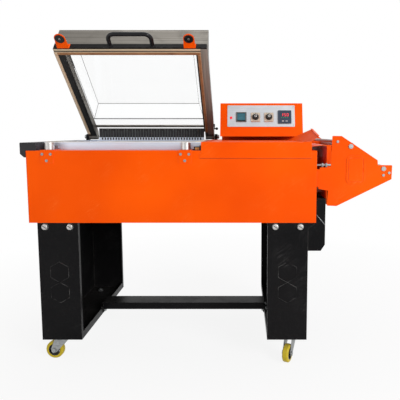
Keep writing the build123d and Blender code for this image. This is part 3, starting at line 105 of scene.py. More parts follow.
# %% [markdown]
# ## Light
#
# Product photographs of machines are lit by large soft boxes. The key lamp stands well to the right, so
# that no plated disc mirrors it into the camera, and half again as high as the machine. It gives the
# upright sheets their even colour, and a weaker lamp on the left leaves that end a little darker. One
# overhead draws the upper edges, and faces that lean back stay deeper in tone.

# %% Hang the lamps


def soft_box(name, place, aim, size, watts):
    """A square area lamp at a place, turned towards a point."""
    bpy.ops.object.light_add(type="AREA", location=place)
    lamp = bpy.context.object
    lamp.name = name
    lamp.data.size = size
    lamp.data.energy = watts
    lamp.rotation_euler = (Vector(aim) - Vector(place)).to_track_quat("-Z", "Y").to_euler()


soft_box("key_lamp", (2.4, -2.9, 1.8), (0.1, 0.0, 0.7), 1.4, 96.0)
soft_box("fill_lamp", (-2.4, -2.4, 1.4), (0.0, 0.0, 0.6), 2.0, 12.0)
soft_box("top_lamp", (0.2, 0.6, 3.2), (0.0, 0.0, 0.8), 2.0, 20.0)

# %% [markdown]
# ## Shader nodes
#
# The world, the floor and all finishes are small networks of nodes. The first helpers place a node and
# feed its sockets, with a number, a colour or another node's output. The next ones give what almost
# every network needs: arithmetic, a range, noise, the point of the surface and a new material.

# %% Helpers that place and feed nodes


def feed(socket, value):
    """Set a socket to a value, or link it if the value is an output."""
    if isinstance(value, bpy.types.NodeSocket):
        socket.id_data.links.new(value, socket)
    else:
        socket.default_value = value


def put(tree, kind, **values):
    """A shader node of a kind: lower-case names are its settings, the others feed its inputs."""
    node = tree.nodes.new("ShaderNode" + kind)
    for name, value in values.items():
        if hasattr(node, name):
            setattr(node, name, value)
        else:
            feed(node.inputs[name.replace("_", " ")], value)
    return node


def calc(tree, operation, *values, clamp=False):
    """The output of a Math node on sockets or numbers."""
    node = put(tree, "Math", operation=operation, use_clamp=clamp)
    for socket, value in zip(node.inputs, values):
        feed(socket, value)
    return node.outputs[0]


def seen_directly(tree):
    """1 for rays from the camera, off metal or through glass, and 0 for those that light things."""
    path = put(tree, "LightPath")
    glossy = calc(tree, "MAXIMUM", path.outputs["Is Camera Ray"], path.outputs["Is Glossy Ray"])
    return calc(tree, "MAXIMUM", glossy, path.outputs["Is Transmission Ray"])


# %% Helpers for ranges, noise and new materials


def stretch(tree, value, low, high, to_low=0.0, to_high=1.0):
    """A value taken from one range to another, and held inside it."""
    node = put(tree, "MapRange", Value=value, From_Min=low, From_Max=high, To_Min=to_low, To_Max=to_high)
    return node.outputs[0]


def noise(tree, vector, scale, detail=3.0, roughness=0.5, distortion=0.0):
    """Noise on a vector, at a scale per metre that is a number or a socket."""
    node = put(tree, "TexNoise", Detail=detail, Roughness=roughness, Distortion=distortion)
    feed(node.inputs["Vector"], vector)
    feed(node.inputs["Scale"], scale)
    return node.outputs[0]


def object_point(tree):
    """The point of the surface in the scene's own metres."""
    return put(tree, "TexCoord").outputs["Object"]


def start_material(name, roughness, metallic=0.0, specular=0.5):
    """A material with one Principled BSDF. Returns the material, its tree and its shader."""
    material = bpy.data.materials.new(name)
    material.use_nodes = True
    shader = material.node_tree.nodes["Principled BSDF"]
    shader.inputs["Roughness"].default_value = roughness
    shader.inputs["Metallic"].default_value = metallic
    shader.inputs["Specular IOR Level"].default_value = specular
    return material, material.node_tree, shader


# %% [markdown]
# **World.** The world fills what the lamps leave. What the camera, glass and metal see directly is plain
# white, so that the background stays white without more light on the machine.

# %% Light the world, with a white background
world = bpy.data.worlds.new("studio")
bpy.context.scene.world = world
world.use_nodes = True
sky = world.node_tree
background = sky.nodes["Background"]
background.inputs["Color"].default_value = (1.0, 1.0, 1.0, 1.0)
world_fill = 0.38
world_level = calc(sky, "MULTIPLY_ADD", seen_directly(sky), 1.0 - world_fill, world_fill)
feed(background.inputs["Strength"], world_level)
bpy.context.scene.view_settings.view_transform = "Standard"

# %% [markdown]
# ## Floor
#
# The floor is pale and endless: it takes the soft shadow under the castors and fades into the white
# background before the horizon. A large plane does it. Its diffuse part shows the shadow, and a plain
# white glow for the camera, stronger with distance, takes over further out.

# %% Lay the floor
bpy.ops.mesh.primitive_plane_add(size=24.0, location=(0, 0, 0))
floor = bpy.context.object
floor.name = "studio_floor"
pale_floor, tree, matte = start_material("pale_floor", 0.9, specular=0.1)
matte.inputs["Base Color"].default_value = (0.86, 0.86, 0.86, 1.0)
glow = put(tree, "Emission", Color=(1.0, 1.0, 1.0, 1.0), Strength=1.0)
distance = put(tree, "VectorMath", operation="LENGTH", Vector=object_point(tree))
fade_starts, fade_ends, glow_near = 0.7, 2.0, 0.88
fade = stretch(tree, distance.outputs["Value"], fade_starts, fade_ends, glow_near)
glow_share = calc(tree, "MULTIPLY", fade, seen_directly(tree))
floor_mix = put(tree, "MixShader")
for socket, value in zip(floor_mix.inputs, (glow_share, matte.outputs[0], glow.outputs[0])):
    feed(socket, value)
feed(tree.nodes["Material Output"].inputs["Surface"], floor_mix.outputs[0])
floor.data.materials.append(pale_floor)

# %% [markdown]
# ## Effects that many finishes share
#
# A real surface is never one colour. Six small effects come back in almost every finish here: the
# orange peel of a coat, worn edges (on black coat and plastics also a painted sheen), settled dust,
# brushed grain, finger marks and fine scratches. Each is built once as a node group with named inputs,
# and placed in each material with its own values.
# The groups give masks and heights only; colour and gloss are decided in the material.

# %% Helper for node groups


def start_group(name, inputs, outputs):
    """An empty node group. Returns its tree, the values it is given and the results it gives."""
    group = bpy.data.node_groups.new(name, "ShaderNodeTree")
    for label, value in inputs.items():
        kind = "NodeSocketVector" if isinstance(value, tuple) else "NodeSocketFloat"
        group.interface.new_socket(label, in_out="INPUT", socket_type=kind).default_value = value
    for label in outputs:
        group.interface.new_socket(label, in_out="OUTPUT", socket_type="NodeSocketFloat")
    given, result = group.nodes.new("NodeGroupInput"), group.nodes.new("NodeGroupOutput")
    return group, given.outputs, result.inputs


# %% [markdown]
# **Orange peel** is the fine unevenness of a baked coat: hills about two millimetres apart. The same
# group gives a slow cloud, for the tone that drifts over a big sheet, and rare flecks.

# %% Group: orange peel
tree, given, result = start_group(
    "orange peel", {"Peel": 450.0, "Cloud": 4.0}, ("Height", "Cloud", "Fleck"))
orange_peel, point = tree, object_point(tree)
feed(result["Height"], noise(tree, point, given["Peel"], 1.0))
feed(result["Cloud"], noise(tree, point, given["Cloud"], 2.0))
flecks = noise(tree, point, calc(tree, "MULTIPLY", given["Peel"], 2.6), 0.0)
feed(result["Fleck"], stretch(tree, flecks, 0.74, 0.8))

# %% [markdown]
# ** Edge wear** shows where hands and boxes rub. The Bevel node gives the normal that a rounded edge
# would have; where it leaves the true normal, there is an edge, and noise breaks the line up. The same
# mask also paints a lighter sheen on the edges of the black coat and of the plastics, a painted highlight.

# %% Group: edge wear, which also carries a painted edge sheen
tree, given, result = start_group(
    "edge rub and sheen", {"Radius": 0.002, "Amount": 0.5, "Break": 60.0}, ("Wear",))
edge_rub_and_sheen = tree
rounded = put(tree, "Bevel", samples=4, Radius=given["Radius"])
agree = put(tree, "VectorMath", operation="DOT_PRODUCT", Vector=rounded.outputs["Normal"])
feed(agree.inputs[1], put(tree, "NewGeometry").outputs["Normal"])
edge = stretch(tree, agree.outputs["Value"], 0.99, 0.86)
patches = stretch(tree, noise(tree, object_point(tree), given["Break"], 4.0, 0.6), 0.4, 0.62)
rub_sheen_amount = calc(tree, "MULTIPLY", edge, patches)
feed(result["Wear"], calc(tree, "MULTIPLY", rub_sheen_amount, given["Amount"], clamp=True))

# %% [markdown]
# **Settled dust** lies on what faces up, and more in corners, where a cloth doesn't reach. Ambient
# occlusion finds the corners.

# %% Group: settled dust
tree, given, result = start_group("settled dust", {"Amount": 0.3, "Reach": 0.03}, ("Dust",))
settled_dust = tree
facing = put(tree, "SeparateXYZ", Vector=put(tree, "NewGeometry").outputs["Normal"])
upward = stretch(tree, facing.outputs["Z"], 0.5, 1.0)
corner_finder = put(tree, "AmbientOcclusion", samples=4, Distance=given["Reach"])
corners = stretch(tree, corner_finder.outputs["AO"], 0.85, 0.35)
speckle = stretch(tree, noise(tree, object_point(tree), 90.0, 5.0, 0.65), 0.35, 0.75)
lying = calc(tree, "MULTIPLY", calc(tree, "MAXIMUM", upward, corners), speckle)
feed(result["Dust"], calc(tree, "MULTIPLY", lying, given["Amount"], clamp=True))

# %% [markdown]
# **Brushed grain** is noise pulled out along one direction. The stretch is a vector: a small number
# makes the pattern long in that direction.

# %% Group: brushed grain
tree, given, result = start_group(
    "brushed grain", {"Stretch": (6.0, 900.0, 900.0), "Waves": 3.0}, ("Grain", "Streak"))
brushed_grain, streaks_wider = tree, 0.08
pulled = put(tree, "VectorMath", operation="MULTIPLY", Vector=object_point(tree))
feed(pulled.inputs[1], given["Stretch"])
feed(result["Grain"], stretch(tree, noise(tree, pulled.outputs[0], 1.0, 3.0, 0.6), 0.25, 0.75))
wide = put(tree, "VectorMath", operation="MULTIPLY", Vector=pulled.outputs[0])
wide.inputs[1].default_value = (streaks_wider,) * 3
streak = noise(tree, wide.outputs[0], given["Waves"], 2.0)
feed(result["Streak"], stretch(tree, streak, 0.35, 0.65))

# %% [markdown]
# **Finger marks** change the gloss, hardly the colour: soft blots a few centimetres wide, broken by
# finer noise.

# %% Group: finger marks
tree, given, result = start_group("finger marks", {"Size": 14.0, "Amount": 0.5}, ("Mark",))
finger_marks, point = tree, object_point(tree)
blots = stretch(tree, noise(tree, point, given["Size"], 2.0, 0.5, 0.6), 0.5, 0.68)
ridges = stretch(tree, noise(tree, point, 260.0, 2.0), 0.3, 0.7, 0.5, 1.0)
marked = calc(tree, "MULTIPLY", blots, ridges)
feed(result["Mark"], calc(tree, "MULTIPLY", marked, given["Amount"]))

# %% [markdown]
# **Fine scratches** are thin lines where a stretched noise crosses its middle value. Two sets, turned
# against each other, look less regular.

# %% Group: fine scratches
tree, given, result = start_group("fine scratches", {"Length": 9.0, "Amount": 0.4}, ("Scratch",))
fine_scratches, thin, sets = tree, 0.03, []
for turn in (0.5, -1.1):
    turned = put(tree, "Mapping", vector_type="TEXTURE", Vector=object_point(tree))
    turned.inputs["Rotation"].default_value = (turn, 0.4 * turn, turn)
    turned.inputs["Scale"].default_value = (1.0, thin, 1.0)
    wave = noise(tree, turned.outputs[0], given["Length"], 2.0)
    off_middle = calc(tree, "ABSOLUTE", calc(tree, "SUBTRACT", wave, 0.5))
    sets.append(stretch(tree, off_middle, 0.006, 0.001))
sparse = stretch(tree, noise(tree, object_point(tree), 11.0, 2.0), 0.52, 0.66)
scratched = calc(tree, "MULTIPLY", calc(tree, "MAXIMUM", *sets), sparse)
feed(result["Scratch"], calc(tree, "MULTIPLY", scratched, given["Amount"]))
print("effect groups:", len(bpy.data.node_groups))

# %% [markdown]
# ## Finishes
#
# Each finish is a Principled BSDF fed by those effects. Five helpers keep the recipes short: they place
# a group, lay a second colour over the first where a mask says so, raise the surface, wear and dust it,
# and give a material to solids.

# %% Helpers for materials


def use(tree, group, **values):
    """Place a node group in a material with its own values."""
    return put(tree, "Group", node_tree=group, **values)


def lay_over(tree, mask, under, over):
    """One colour over another where the mask is 1. Each is a colour or a socket."""
    mix = put(tree, "Mix", data_type="RGBA")
    for socket, value in ((mix.inputs[0], mask), (mix.inputs[6], under), (mix.inputs[7], over)):
        feed(socket, (*value, 1.0) if isinstance(value, tuple) else value)
    return mix.outputs[2]


def add_bump(tree, shader, height, depth, strength=1.0):
    """Raise the surface by a height map, with its depth in metres."""
    bump = put(tree, "Bump", Strength=strength, Distance=depth, Height=height)
    feed(shader.inputs["Normal"], bump.outputs[0])


def weather(tree, shader, shade, edge_tone_and_sheen, dust_tone, rub_sheen_values, dusty):
    """Colour a shader, with a lighter edge tone and dust on top; the edge tone is real wear on orange coat
    and metal and a painted sheen on black coat and plastics. Returns both masks.
    """
    rub_sheen_mask = use(tree, edge_rub_and_sheen, **rub_sheen_values).outputs["Wear"]
    # Lighter edge tone: real wear on some finishes, a painted sheen on black coat and plastics.
    shade = lay_over(tree, rub_sheen_mask, shade, edge_tone_and_sheen)
    dust = use(tree, settled_dust, **dusty).outputs["Dust"]
    feed(shader.inputs["Base Color"], lay_over(tree, dust, shade, dust_tone))
    return rub_sheen_mask, dust


def dress(material, *names):
    """Give CAD nodes a material."""
    for name in names:
        for slot in nodes[name].material_slots:
            slot.material = material


# %% [markdown]
# ** Powder coat.** The casing is sprayed in a loud orange, the stand in black. Both are semi-gloss
# with orange peel. On the orange coat the coat thins at the edges and the primer shows a lighter tone;
# on the black coat the lighter edge tone is a painted highlight along the edges and the embossing.
# The recipe is a function, because the two coats differ only in their colours and numbers.

# %% Powder coats
coat_specular, coat_dust = 0.06, (0.42, 0.39, 0.35)


def powder_coat(name, colour, deep, edge_tone_and_sheen, roughness, rub_sheen_amount, dust):
    """Coat with a drifting tone, a lighter edge tone (worn primer on orange, a painted highlight on black),
    marks and a little dust.
    """
    material, tree, shader = start_material(name, roughness, specular=coat_specular)
    peel = use(tree, orange_peel, Peel=450.0, Cloud=3.0)
    shade = lay_over(tree, stretch(tree, peel.outputs["Cloud"], 0.3, 0.7), deep, colour)
    shade = lay_over(tree, calc(tree, "MULTIPLY", peel.outputs["Fleck"], 0.25), shade, edge_tone_and_sheen)
    scratch = use(tree, fine_scratches, Length=7.0, Amount=0.35)
    shade = lay_over(tree, scratch.outputs["Scratch"], shade, edge_tone_and_sheen)
    rub_sheen_values, dusty = dict(Radius=0.0018, Amount=rub_sheen_amount, Break=45.0), dict(Amount=dust, Reach=0.02)
    lying = weather(tree, shader, shade, edge_tone_and_sheen, coat_dust, rub_sheen_values, dusty)[1]
    marks = use(tree, finger_marks, Size=9.0, Amount=0.16)
    gloss = calc(tree, "ADD", marks.outputs["Mark"], roughness)
    gloss = calc(tree, "ADD", gloss, calc(tree, "MULTIPLY", lying, 0.4), clamp=True)
    feed(shader.inputs["Roughness"], gloss)
    add_bump(tree, shader, peel.outputs["Height"], 0.00012, 0.5)
    return material


orange_coat = powder_coat(
    "orange_coat", (1.0, 0.104, 0.0), (0.82, 0.068, 0.0), (1.0, 0.30, 0.06), 0.36, 0.5, 0.07)
# The black coat's grey edge tone and strong edge amount paint highlights on its edges and hexagons.
black_coat = powder_coat(
    "black_coat", (0.008, 0.0075, 0.008), (0.004, 0.004, 0.0045), (0.17, 0.165, 0.16), 0.32, 0.85, 0.06)
dress(orange_coat, "body_shell", "film_table", "film_wing", "control_box", "cradle_front_plate",
      "cradle_rear_plate", "cradle_bridge", "armature_brackets", "magnet_brackets")
dress(black_coat, "left_leg", "right_leg", "crossbar", "electrical_box", "bottom_pan",
      "hinge_brackets", "hood_front_rail")

# %% [markdown]
# **Metals.** The hood is brushed stainless, the worktop an anodised extrusion, the castors and bolts
# are zinc plated, and the chamber is aluminised sheet. Each has its grain along the direction in which
# it was drawn or polished, darker streaks, and a gloss that follows the grain.

# %% Brushed and plated metals
metal_dust = (0.16, 0.15, 0.135)


def metal(name, light, dark, roughness, pull, streaks=0.5, dust=0.15, waves=3.0):
    """Metal with a grain pulled along one direction, streaks, and a gloss that follows them."""
    material, tree, shader = start_material(name, roughness, 1.0)
    brush = use(tree, brushed_grain, Stretch=pull, Waves=waves)
    shade = lay_over(tree, calc(tree, "MULTIPLY", brush.outputs["Grain"], 0.6), light, dark)
    shade = lay_over(tree, calc(tree, "MULTIPLY", brush.outputs["Streak"], streaks), shade, dark)
    rub_sheen_values, dusty = dict(Radius=0.0012, Amount=0.6, Break=80.0), dict(Amount=dust, Reach=0.012)
    lying = weather(tree, shader, shade, light, metal_dust, rub_sheen_values, dusty)[1]
    marks = use(tree, finger_marks, Size=16.0, Amount=0.22)
    gloss = calc(tree, "ADD", calc(tree, "MULTIPLY", brush.outputs["Grain"], 0.16), roughness)
    gloss = calc(tree, "ADD", gloss, marks.outputs["Mark"], clamp=True)
    feed(shader.inputs["Roughness"], gloss)
    feed(shader.inputs["Metallic"], calc(tree, "SUBTRACT", 1.0, lying))
    add_bump(tree, shader, brush.outputs["Grain"], 0.00004, 0.4)
    return material


stainless = metal(
    "brushed_stainless", (0.25, 0.232, 0.205), (0.10, 0.092, 0.08), 0.34, (5.0, 700.0, 700.0), 0.65)
aluminium = metal(
    "anodised_aluminium", (0.66, 0.70, 0.78), (0.48, 0.52, 0.62), 0.26, (3.0, 500.0, 500.0), 0.35)
panel_foil = metal(
    "panel_foil", (0.52, 0.53, 0.555), (0.41, 0.42, 0.445), 0.34, (3.0, 600.0, 600.0), 0.35, 0.05)
zinc = metal(
    "zinc_plate", (0.40, 0.41, 0.41), (0.20, 0.21, 0.21), 0.32, (140.0, 140.0, 220.0), 0.6, 0.2, 9.0)
nickel = metal(
    "nickel_plate", (0.60, 0.585, 0.57), (0.34, 0.325, 0.31), 0.22, (260.0, 260.0, 30.0), 0.3, 0.08)
aluminised = metal(
    "aluminised_sheet", (0.45, 0.46, 0.47), (0.25, 0.26, 0.27), 0.36, (40.0, 40.0, 60.0), 0.7, 0.3, 6.0)
castors = ("castor_fl_", "castor_fr_", "castor_rl_", "castor_rr_")
dress(stainless, "hood_frame")
dress(aluminium, "base_frame")
dress(panel_foil, "control_panel")
dress(zinc, "stand_bolts", "castor_mounts", "hinge_pins", "cradle_ties", "pan_screws",
      "guide_roller_upper", "guide_roller_outer", *[castor + "fork" for castor in castors])
dress(nickel, "electromagnets", "product_net")
dress(aluminised, "chamber_tub")

# %% [markdown]
# ** Moulded plastics and rubbers.** Knobs, caps and switches are moulded with a fine spark-eroded
# texture that softens their gloss. Rubbed edges turn shiny rather than bare, so wear lowers the
# roughness here; a slightly lighter tone on the edges is a painted sheen.

# %% Plastics and rubbers
plastic_dust = (0.33, 0.31, 0.28)


def moulded(name, colour, roughness, texture=1200.0, lighter=1.6, dust=0.2, rub_sheen_amount=0.35, specular=0.25):
    """Moulded plastic: fine texture, edges polished by use and painted lighter as a sheen, dust in the
    corners.
    """
    material, tree, shader = start_material(name, roughness, specular=specular)
    peel = use(tree, orange_peel, Peel=texture, Cloud=30.0)
    light_tone_and_sheen = tuple(min(1.0, lighter * c + 0.004) for c in colour)
    shade = lay_over(tree, stretch(tree, peel.outputs["Cloud"], 0.3, 0.75, 0.0, 0.4), colour, light_tone_and_sheen)
    rub_sheen_values, dusty = dict(Radius=0.0008, Amount=rub_sheen_amount, Break=140.0), dict(Amount=dust, Reach=0.008)
    # Edges: polished by real wear, and the lighter tone laid on them is a painted sheen.
    rub_sheen_mask, lying = weather(tree, shader, shade, light_tone_and_sheen, plastic_dust, rub_sheen_values, dusty)
    polished = calc(tree, "ADD", calc(tree, "MULTIPLY", rub_sheen_mask, -0.15), roughness)
    feed(shader.inputs["Roughness"], calc(tree, "ADD", polished, lying, clamp=True))
    add_bump(tree, shader, peel.outputs["Height"], 0.00005, 0.5)
    return material


black_plastic = moulded("black_plastic", (0.014, 0.014, 0.015), 0.38)
gloss_black = moulded("gloss_black", (0.008, 0.008, 0.009), 0.2, 500.0, 1.6, 0.04, 0.35, 0.2)
comb_black = moulded("comb_black", (0.022, 0.021, 0.023), 0.42, 900.0, 2.4, 0.1)
tyre_yellow = moulded("tyre_polyurethane", (0.56, 0.42, 0.02), 0.4, 700.0, 1.15, 0.25)
core_black = moulded("wheel_core", (0.02, 0.02, 0.021), 0.45)
silicone = moulded("pad_silicone", (0.75, 0.62, 0.46), 0.5, 900.0, 1.1, 0.1)
rocker_green = moulded("rocker_green", (0.03, 0.12, 0.155), 0.2, 900.0, 1.7, 0.05)
frame_grey = moulded("frame_grey", (0.11, 0.12, 0.12), 0.4, 900.0, 1.4, 0.08)
timer_beige = moulded("timer_beige", (0.56, 0.50, 0.40), 0.42, 900.0, 1.15, 0.1)
controller_slate = moulded("controller_slate", (0.036, 0.054, 0.085), 0.34, 900.0, 1.4, 0.05)
key_grey = moulded("key_grey", (0.36, 0.38, 0.40), 0.4, 900.0, 1.2, 0.05)
dress(black_plastic, "end_cap", "limit_switch", "timer_knob_seal", "timer_knob_shrink", "hood_stay_lever")
dress(frame_grey, "rocker_frame")
dress(nickel, "switch_lever")
dress(gloss_black, "hood_handle", "armature_discs")
dress(comb_black, "rear_comb")
dress(tyre_yellow, *[castor + "tyre" for castor in castors])
dress(core_black, *[castor + "core" for castor in castors])
dress(silicone, "seal_pads")
dress(rocker_green, "rocker")
dress(timer_beige, "timer_bodies")
dress(controller_slate, "temp_controller")
dress(key_grey, "temp_key_down", "temp_key_up")

# %% [markdown]
# **Sealing bars.** Each bar is a pale phenolic carrier with a narrow band under brown release tape.
# One solid holds both, so the material tells them apart by height above the seal plane: a Mapping node
# turns the point into the hood's own axes, and a threshold picks the tape. The left bar only presses
# and stays pale, so a second threshold leaves it out. The tape is woven, so a fine weave runs over it.

# %% Sealing bars in carrier and tape
bar_material, tree, shader = start_material("seal_bar", 0.5)
point = object_point(tree)
to_hood = put(tree, "Mapping", vector_type="TEXTURE", Vector=point)
to_hood.inputs["Location"].default_value = tuple(hood_place.translation)
to_hood.inputs["Rotation"].default_value = (-hood_lean, 0.0, 0.0)
hood_axes = put(tree, "SeparateXYZ", Vector=to_hood.outputs[0])
left_bar_ends, tape_starts, blend = 0.0425, -0.0108, 0.0003
hot_bar = stretch(tree, hood_axes.outputs["X"], left_bar_ends, left_bar_ends + blend)
low_side = stretch(tree, hood_axes.outputs["Z"], tape_starts, tape_starts - blend)
tape = calc(tree, "MULTIPLY", low_side, hot_bar)
carrier = lay_over(tree, noise(tree, point, 40.0, 3.0), (0.74, 0.60, 0.42), (0.58, 0.40, 0.27))
weave = put(tree, "TexWave", wave_type="BANDS", bands_direction="DIAGONAL", Scale=260.0,
            Distortion=0.4, Vector=point).outputs["Fac"]
scorch = stretch(tree, noise(tree, point, 26.0, 4.0), 0.3, 0.7)
brown = lay_over(tree, scorch, (0.24, 0.10, 0.035), (0.42, 0.20, 0.08))
brown = lay_over(tree, calc(tree, "MULTIPLY", weave, 0.25), brown, (0.16, 0.07, 0.03))
feed(shader.inputs["Base Color"], lay_over(tree, tape, carrier, brown))
add_bump(tree, shader, weave, 0.00008, 0.5)
dress(bar_material, "seal_bars")

# %% [markdown]
# **Clear acrylic.** Glass-like plastic needs a full transmission and almost no colour. Thin sheet
# bends light less than a block does, so its index is set below acrylic's own 1.49. Handling leaves
# marks that only show in the gloss, so they feed the roughness and stay faint.

# %% Clear acrylic
acrylic, tree, shader = start_material("clear_acrylic", 0.02)
shader.inputs["Transmission Weight"].default_value = 1.0
shader.inputs["IOR"].default_value = 1.3
marks = use(tree, finger_marks, Size=11.0, Amount=0.05).outputs["Mark"]
scratch = use(tree, fine_scratches, Length=6.0, Amount=0.5).outputs["Scratch"]
feed(shader.inputs["Base Color"], lay_over(tree, scratch, (0.995, 1.0, 1.0), (0.90, 0.91, 0.91)))
feed(shader.inputs["Roughness"], calc(tree, "ADD", marks, 0.015))
dress(acrylic, "hood_window")

# %% [markdown]
# **Lit red.** The pilot lamp's lens and the controller's digits are lit from behind. The glow is a
# steady emission; small cells in its colour stand for moulded facets and for the digits' fine grid.

# %% Pilot lamp lens


def lit_material(name, roughness, cells, depth, bright, dark, strength):
    """A glowing material, darker towards the edges of small cells."""
    material, tree, shader = start_material(name, roughness)
    pattern = put(tree, "TexVoronoi", Scale=cells, Vector=object_point(tree))
    glow = lay_over(tree, calc(tree, "MULTIPLY", pattern.outputs["Distance"], depth), bright, dark)
    feed(shader.inputs["Base Color"], glow)
    feed(shader.inputs["Emission Color"], glow)
    shader.inputs["Emission Strength"].default_value = strength
    return material


lamp_lens = lit_material("lamp_lens", 0.15, 900.0, 0.5, (0.80, 0.01, 0.02), (0.35, 0.0, 0.01), 0.55)
dress(lamp_lens, "pilot_lamp")
undressed = sorted(
    name for name, item in nodes.items()
    if not item.material_slots or not item.material_slots[0].material.use_nodes)
print("materials:", len(bpy.data.materials), "undressed:", undressed)

# %% [markdown]
# ## Modelling the small fittings
#
# The rest of the lesson models pieces by hand with Blender's operators. A few helpers do what a modeller
# does with the mouse: select faces or edges by where they are, round and extrude them, start from a bar
# or a disc, and move the finished mesh into its place, so that its object stays at the origin.

# %% Helpers for edit mode


def pick(faces=None, edges=None):
    """In edit mode, select the faces or edges that a test accepts, and nothing else."""
    mesh = bmesh.from_edit_mesh(bpy.context.object.data)
    mesh.select_mode = {"FACE"} if faces else {"EDGE"}
    bpy.ops.mesh.select_mode(type="FACE" if faces else "EDGE")
    bpy.ops.mesh.select_all(action="DESELECT")
    for item in mesh.faces if faces else mesh.edges:
        item.select = bool((faces or edges)(item))
    mesh.select_flush_mode()
    bmesh.update_edit_mesh(bpy.context.object.data)


def bevel(width, segments):
    """In edit mode, round what is selected by a width in millimetres."""
    bpy.ops.mesh.bevel(offset=width * MM, segments=segments, affect="EDGES")


def extrude(x, y, z):
    """In edit mode, extrude what is selected by a step in millimetres."""
    bpy.ops.mesh.extrude_region_move(TRANSFORM_OT_translate={"value": (x * MM, y * MM, z * MM)})


# %% Helpers for bars, discs and finished pieces


def block(low, high):
    """A sharp box between two corners in millimetres."""
    low, high = Vector(low) * MM, Vector(high) * MM
    bpy.ops.mesh.primitive_cube_add(size=1.0, location=(low + high) / 2)
    piece = bpy.context.object
    piece.scale = high - low
    bpy.ops.object.transform_apply(location=True, rotation=True, scale=True)
    return piece


def bar(low, high, rounding, segments=2):
    """A bar between two corners in millimetres, with all its edges rounded."""
    piece = block(low, high)
    bpy.ops.object.mode_set(mode="EDIT")
    bpy.ops.mesh.select_all(action="SELECT")
    bevel(rounding, segments)
    bpy.ops.object.mode_set(mode="OBJECT")
    return piece


def disc(radius, height, rim, segments, sides):
    """A disc about the origin, in millimetres, its upper rim rounded."""
    bpy.ops.mesh.primitive_cylinder_add(vertices=sides, radius=radius * MM, depth=height * MM)
    piece = bpy.context.object
    bpy.ops.object.mode_set(mode="EDIT")
    pick(faces=lambda f: f.normal.z > 0.9)
    bevel(rim, segments)
    bpy.ops.object.mode_set(mode="OBJECT")
    return piece


def shift(piece, place, turn=0.0, axis="Z"):
    """Turn a mesh about an axis, in degrees, then move it by millimetres. Returns the piece."""
    turned = Matrix.Rotation(radians(turn), 4, axis)
    piece.data.transform(Matrix.Translation(Vector(place) * MM) @ turned)
    return piece


def set_down(name, pieces, place, material, body):
    """Join pieces into one, move it into its place, smooth it, give it its finish and its body."""
    bpy.ops.object.select_all(action="DESELECT")
    for part in pieces:
        part.select_set(True)
    piece = pieces[0]
    bpy.context.view_layer.objects.active = piece
    if len(pieces) > 1:
        bpy.ops.object.join()
    piece.name = name
    piece.data.transform(place)
    piece.data.update()
    bpy.ops.object.shade_smooth_by_angle(angle=radians(35))
    bpy.ops.object.select_all(action="DESELECT")
    piece.data.materials.clear()
    piece.data.materials.append(material)
    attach(piece, body)
    print(piece.name, "triangles:", sum(len(p.vertices) - 2 for p in piece.data.polygons))
    return piece


# %% [markdown]
# **Seams of the window.** The hood's blister is glued from flat sheets, and each joint shows as a
# thin grey line. A bead along each fold is enough: a cylinder from corner to corner, its ends rounded
# by a bevel so that the beads flow into each other where three sheets meet.

# %% Beads along the folds of the window
bead_grey, tree, shader = start_material("solvent_seam", 0.35)
mottle = stretch(tree, noise(tree, object_point(tree), 120.0, 3.0), 0.3, 0.7)
feed(shader.inputs["Base Color"], lay_over(tree, mottle, (0.15, 0.15, 0.145), (0.07, 0.07, 0.068)))
add_bump(tree, shader, mottle, 0.0001, 0.4)


def bead(start, end, radius):
    """A round bead between two points in millimetres."""
    start, end = Vector(start) * MM, Vector(end) * MM
    along = end - start
    bpy.ops.mesh.primitive_cylinder_add(
        vertices=12, radius=radius * MM, depth=along.length, location=(start + end) / 2,
        rotation=along.to_track_quat("Z", "Y").to_euler(),
    )
    piece = bpy.context.object
    bpy.ops.object.transform_apply(location=True, rotation=True, scale=True)
    bpy.ops.object.mode_set(mode="EDIT")
    tangent = along.normalized()
    pick(faces=lambda f: abs(f.normal.dot(tangent)) > 0.9)
    bevel(radius * 0.5, 2)
    bpy.ops.object.mode_set(mode="OBJECT")
    return piece


window_left, window_right, end_slope, seam_radius = 68.3, 561.7, 22.0, 1.5
crest_back, crest_front, crest_top = -140.0, -503.5, 74.0
step_back, step_top = -92.0, 27.0
crest_xs = window_left + end_slope, window_right - end_slope
crest = [(x, crest_back, crest_top) for x in crest_xs]
front = [(x, crest_front, crest_top) for x in crest_xs]
step = [(x, step_back, step_top) for x in (window_left, window_right)]
beads = [bead(*fold, seam_radius) for fold in (crest, step, *zip(crest, step), *zip(crest, front))]
set_down("window_seams", beads, hood_place, bead_grey, "hood")

# %% [markdown]
# **Hood gaskets.** Black sponge strips lie beside the hot bars and close the chamber. They are plain
# strips with well-rounded edges, a little thinner than the bars are high, so that the bar still
# touches first.

# %% Sponge strips beside the sealing bars
sponge = moulded("gasket_sponge", (0.010, 0.010, 0.010), 0.7, 1600.0, 1.8, 0.1, 0.1)
strip_front, left_back, right_back, rail_under = -484.0, -22.0, -46.0, -8.0
strips = [
    bar((43.0, strip_front, -11.0), (66.5, left_back, rail_under), 0.9),
    bar((558.8, strip_front, -10.6), (563.4, right_back, rail_under), 0.7),
    bar((558.8, strip_front, -8.4), (561.8, right_back, 4.0), 0.7),
]
set_down("hood_gaskets", strips, hood_place, sponge, "hood")

# %% [markdown]
# **Edge trims of the hood.** The underside of the right rail carries a matt steel trim, and a pale strip
# of phenolic lies between the black front rail and the hot bar. Matt steel hardly mirrors the casing
# below it, so it stays grey.

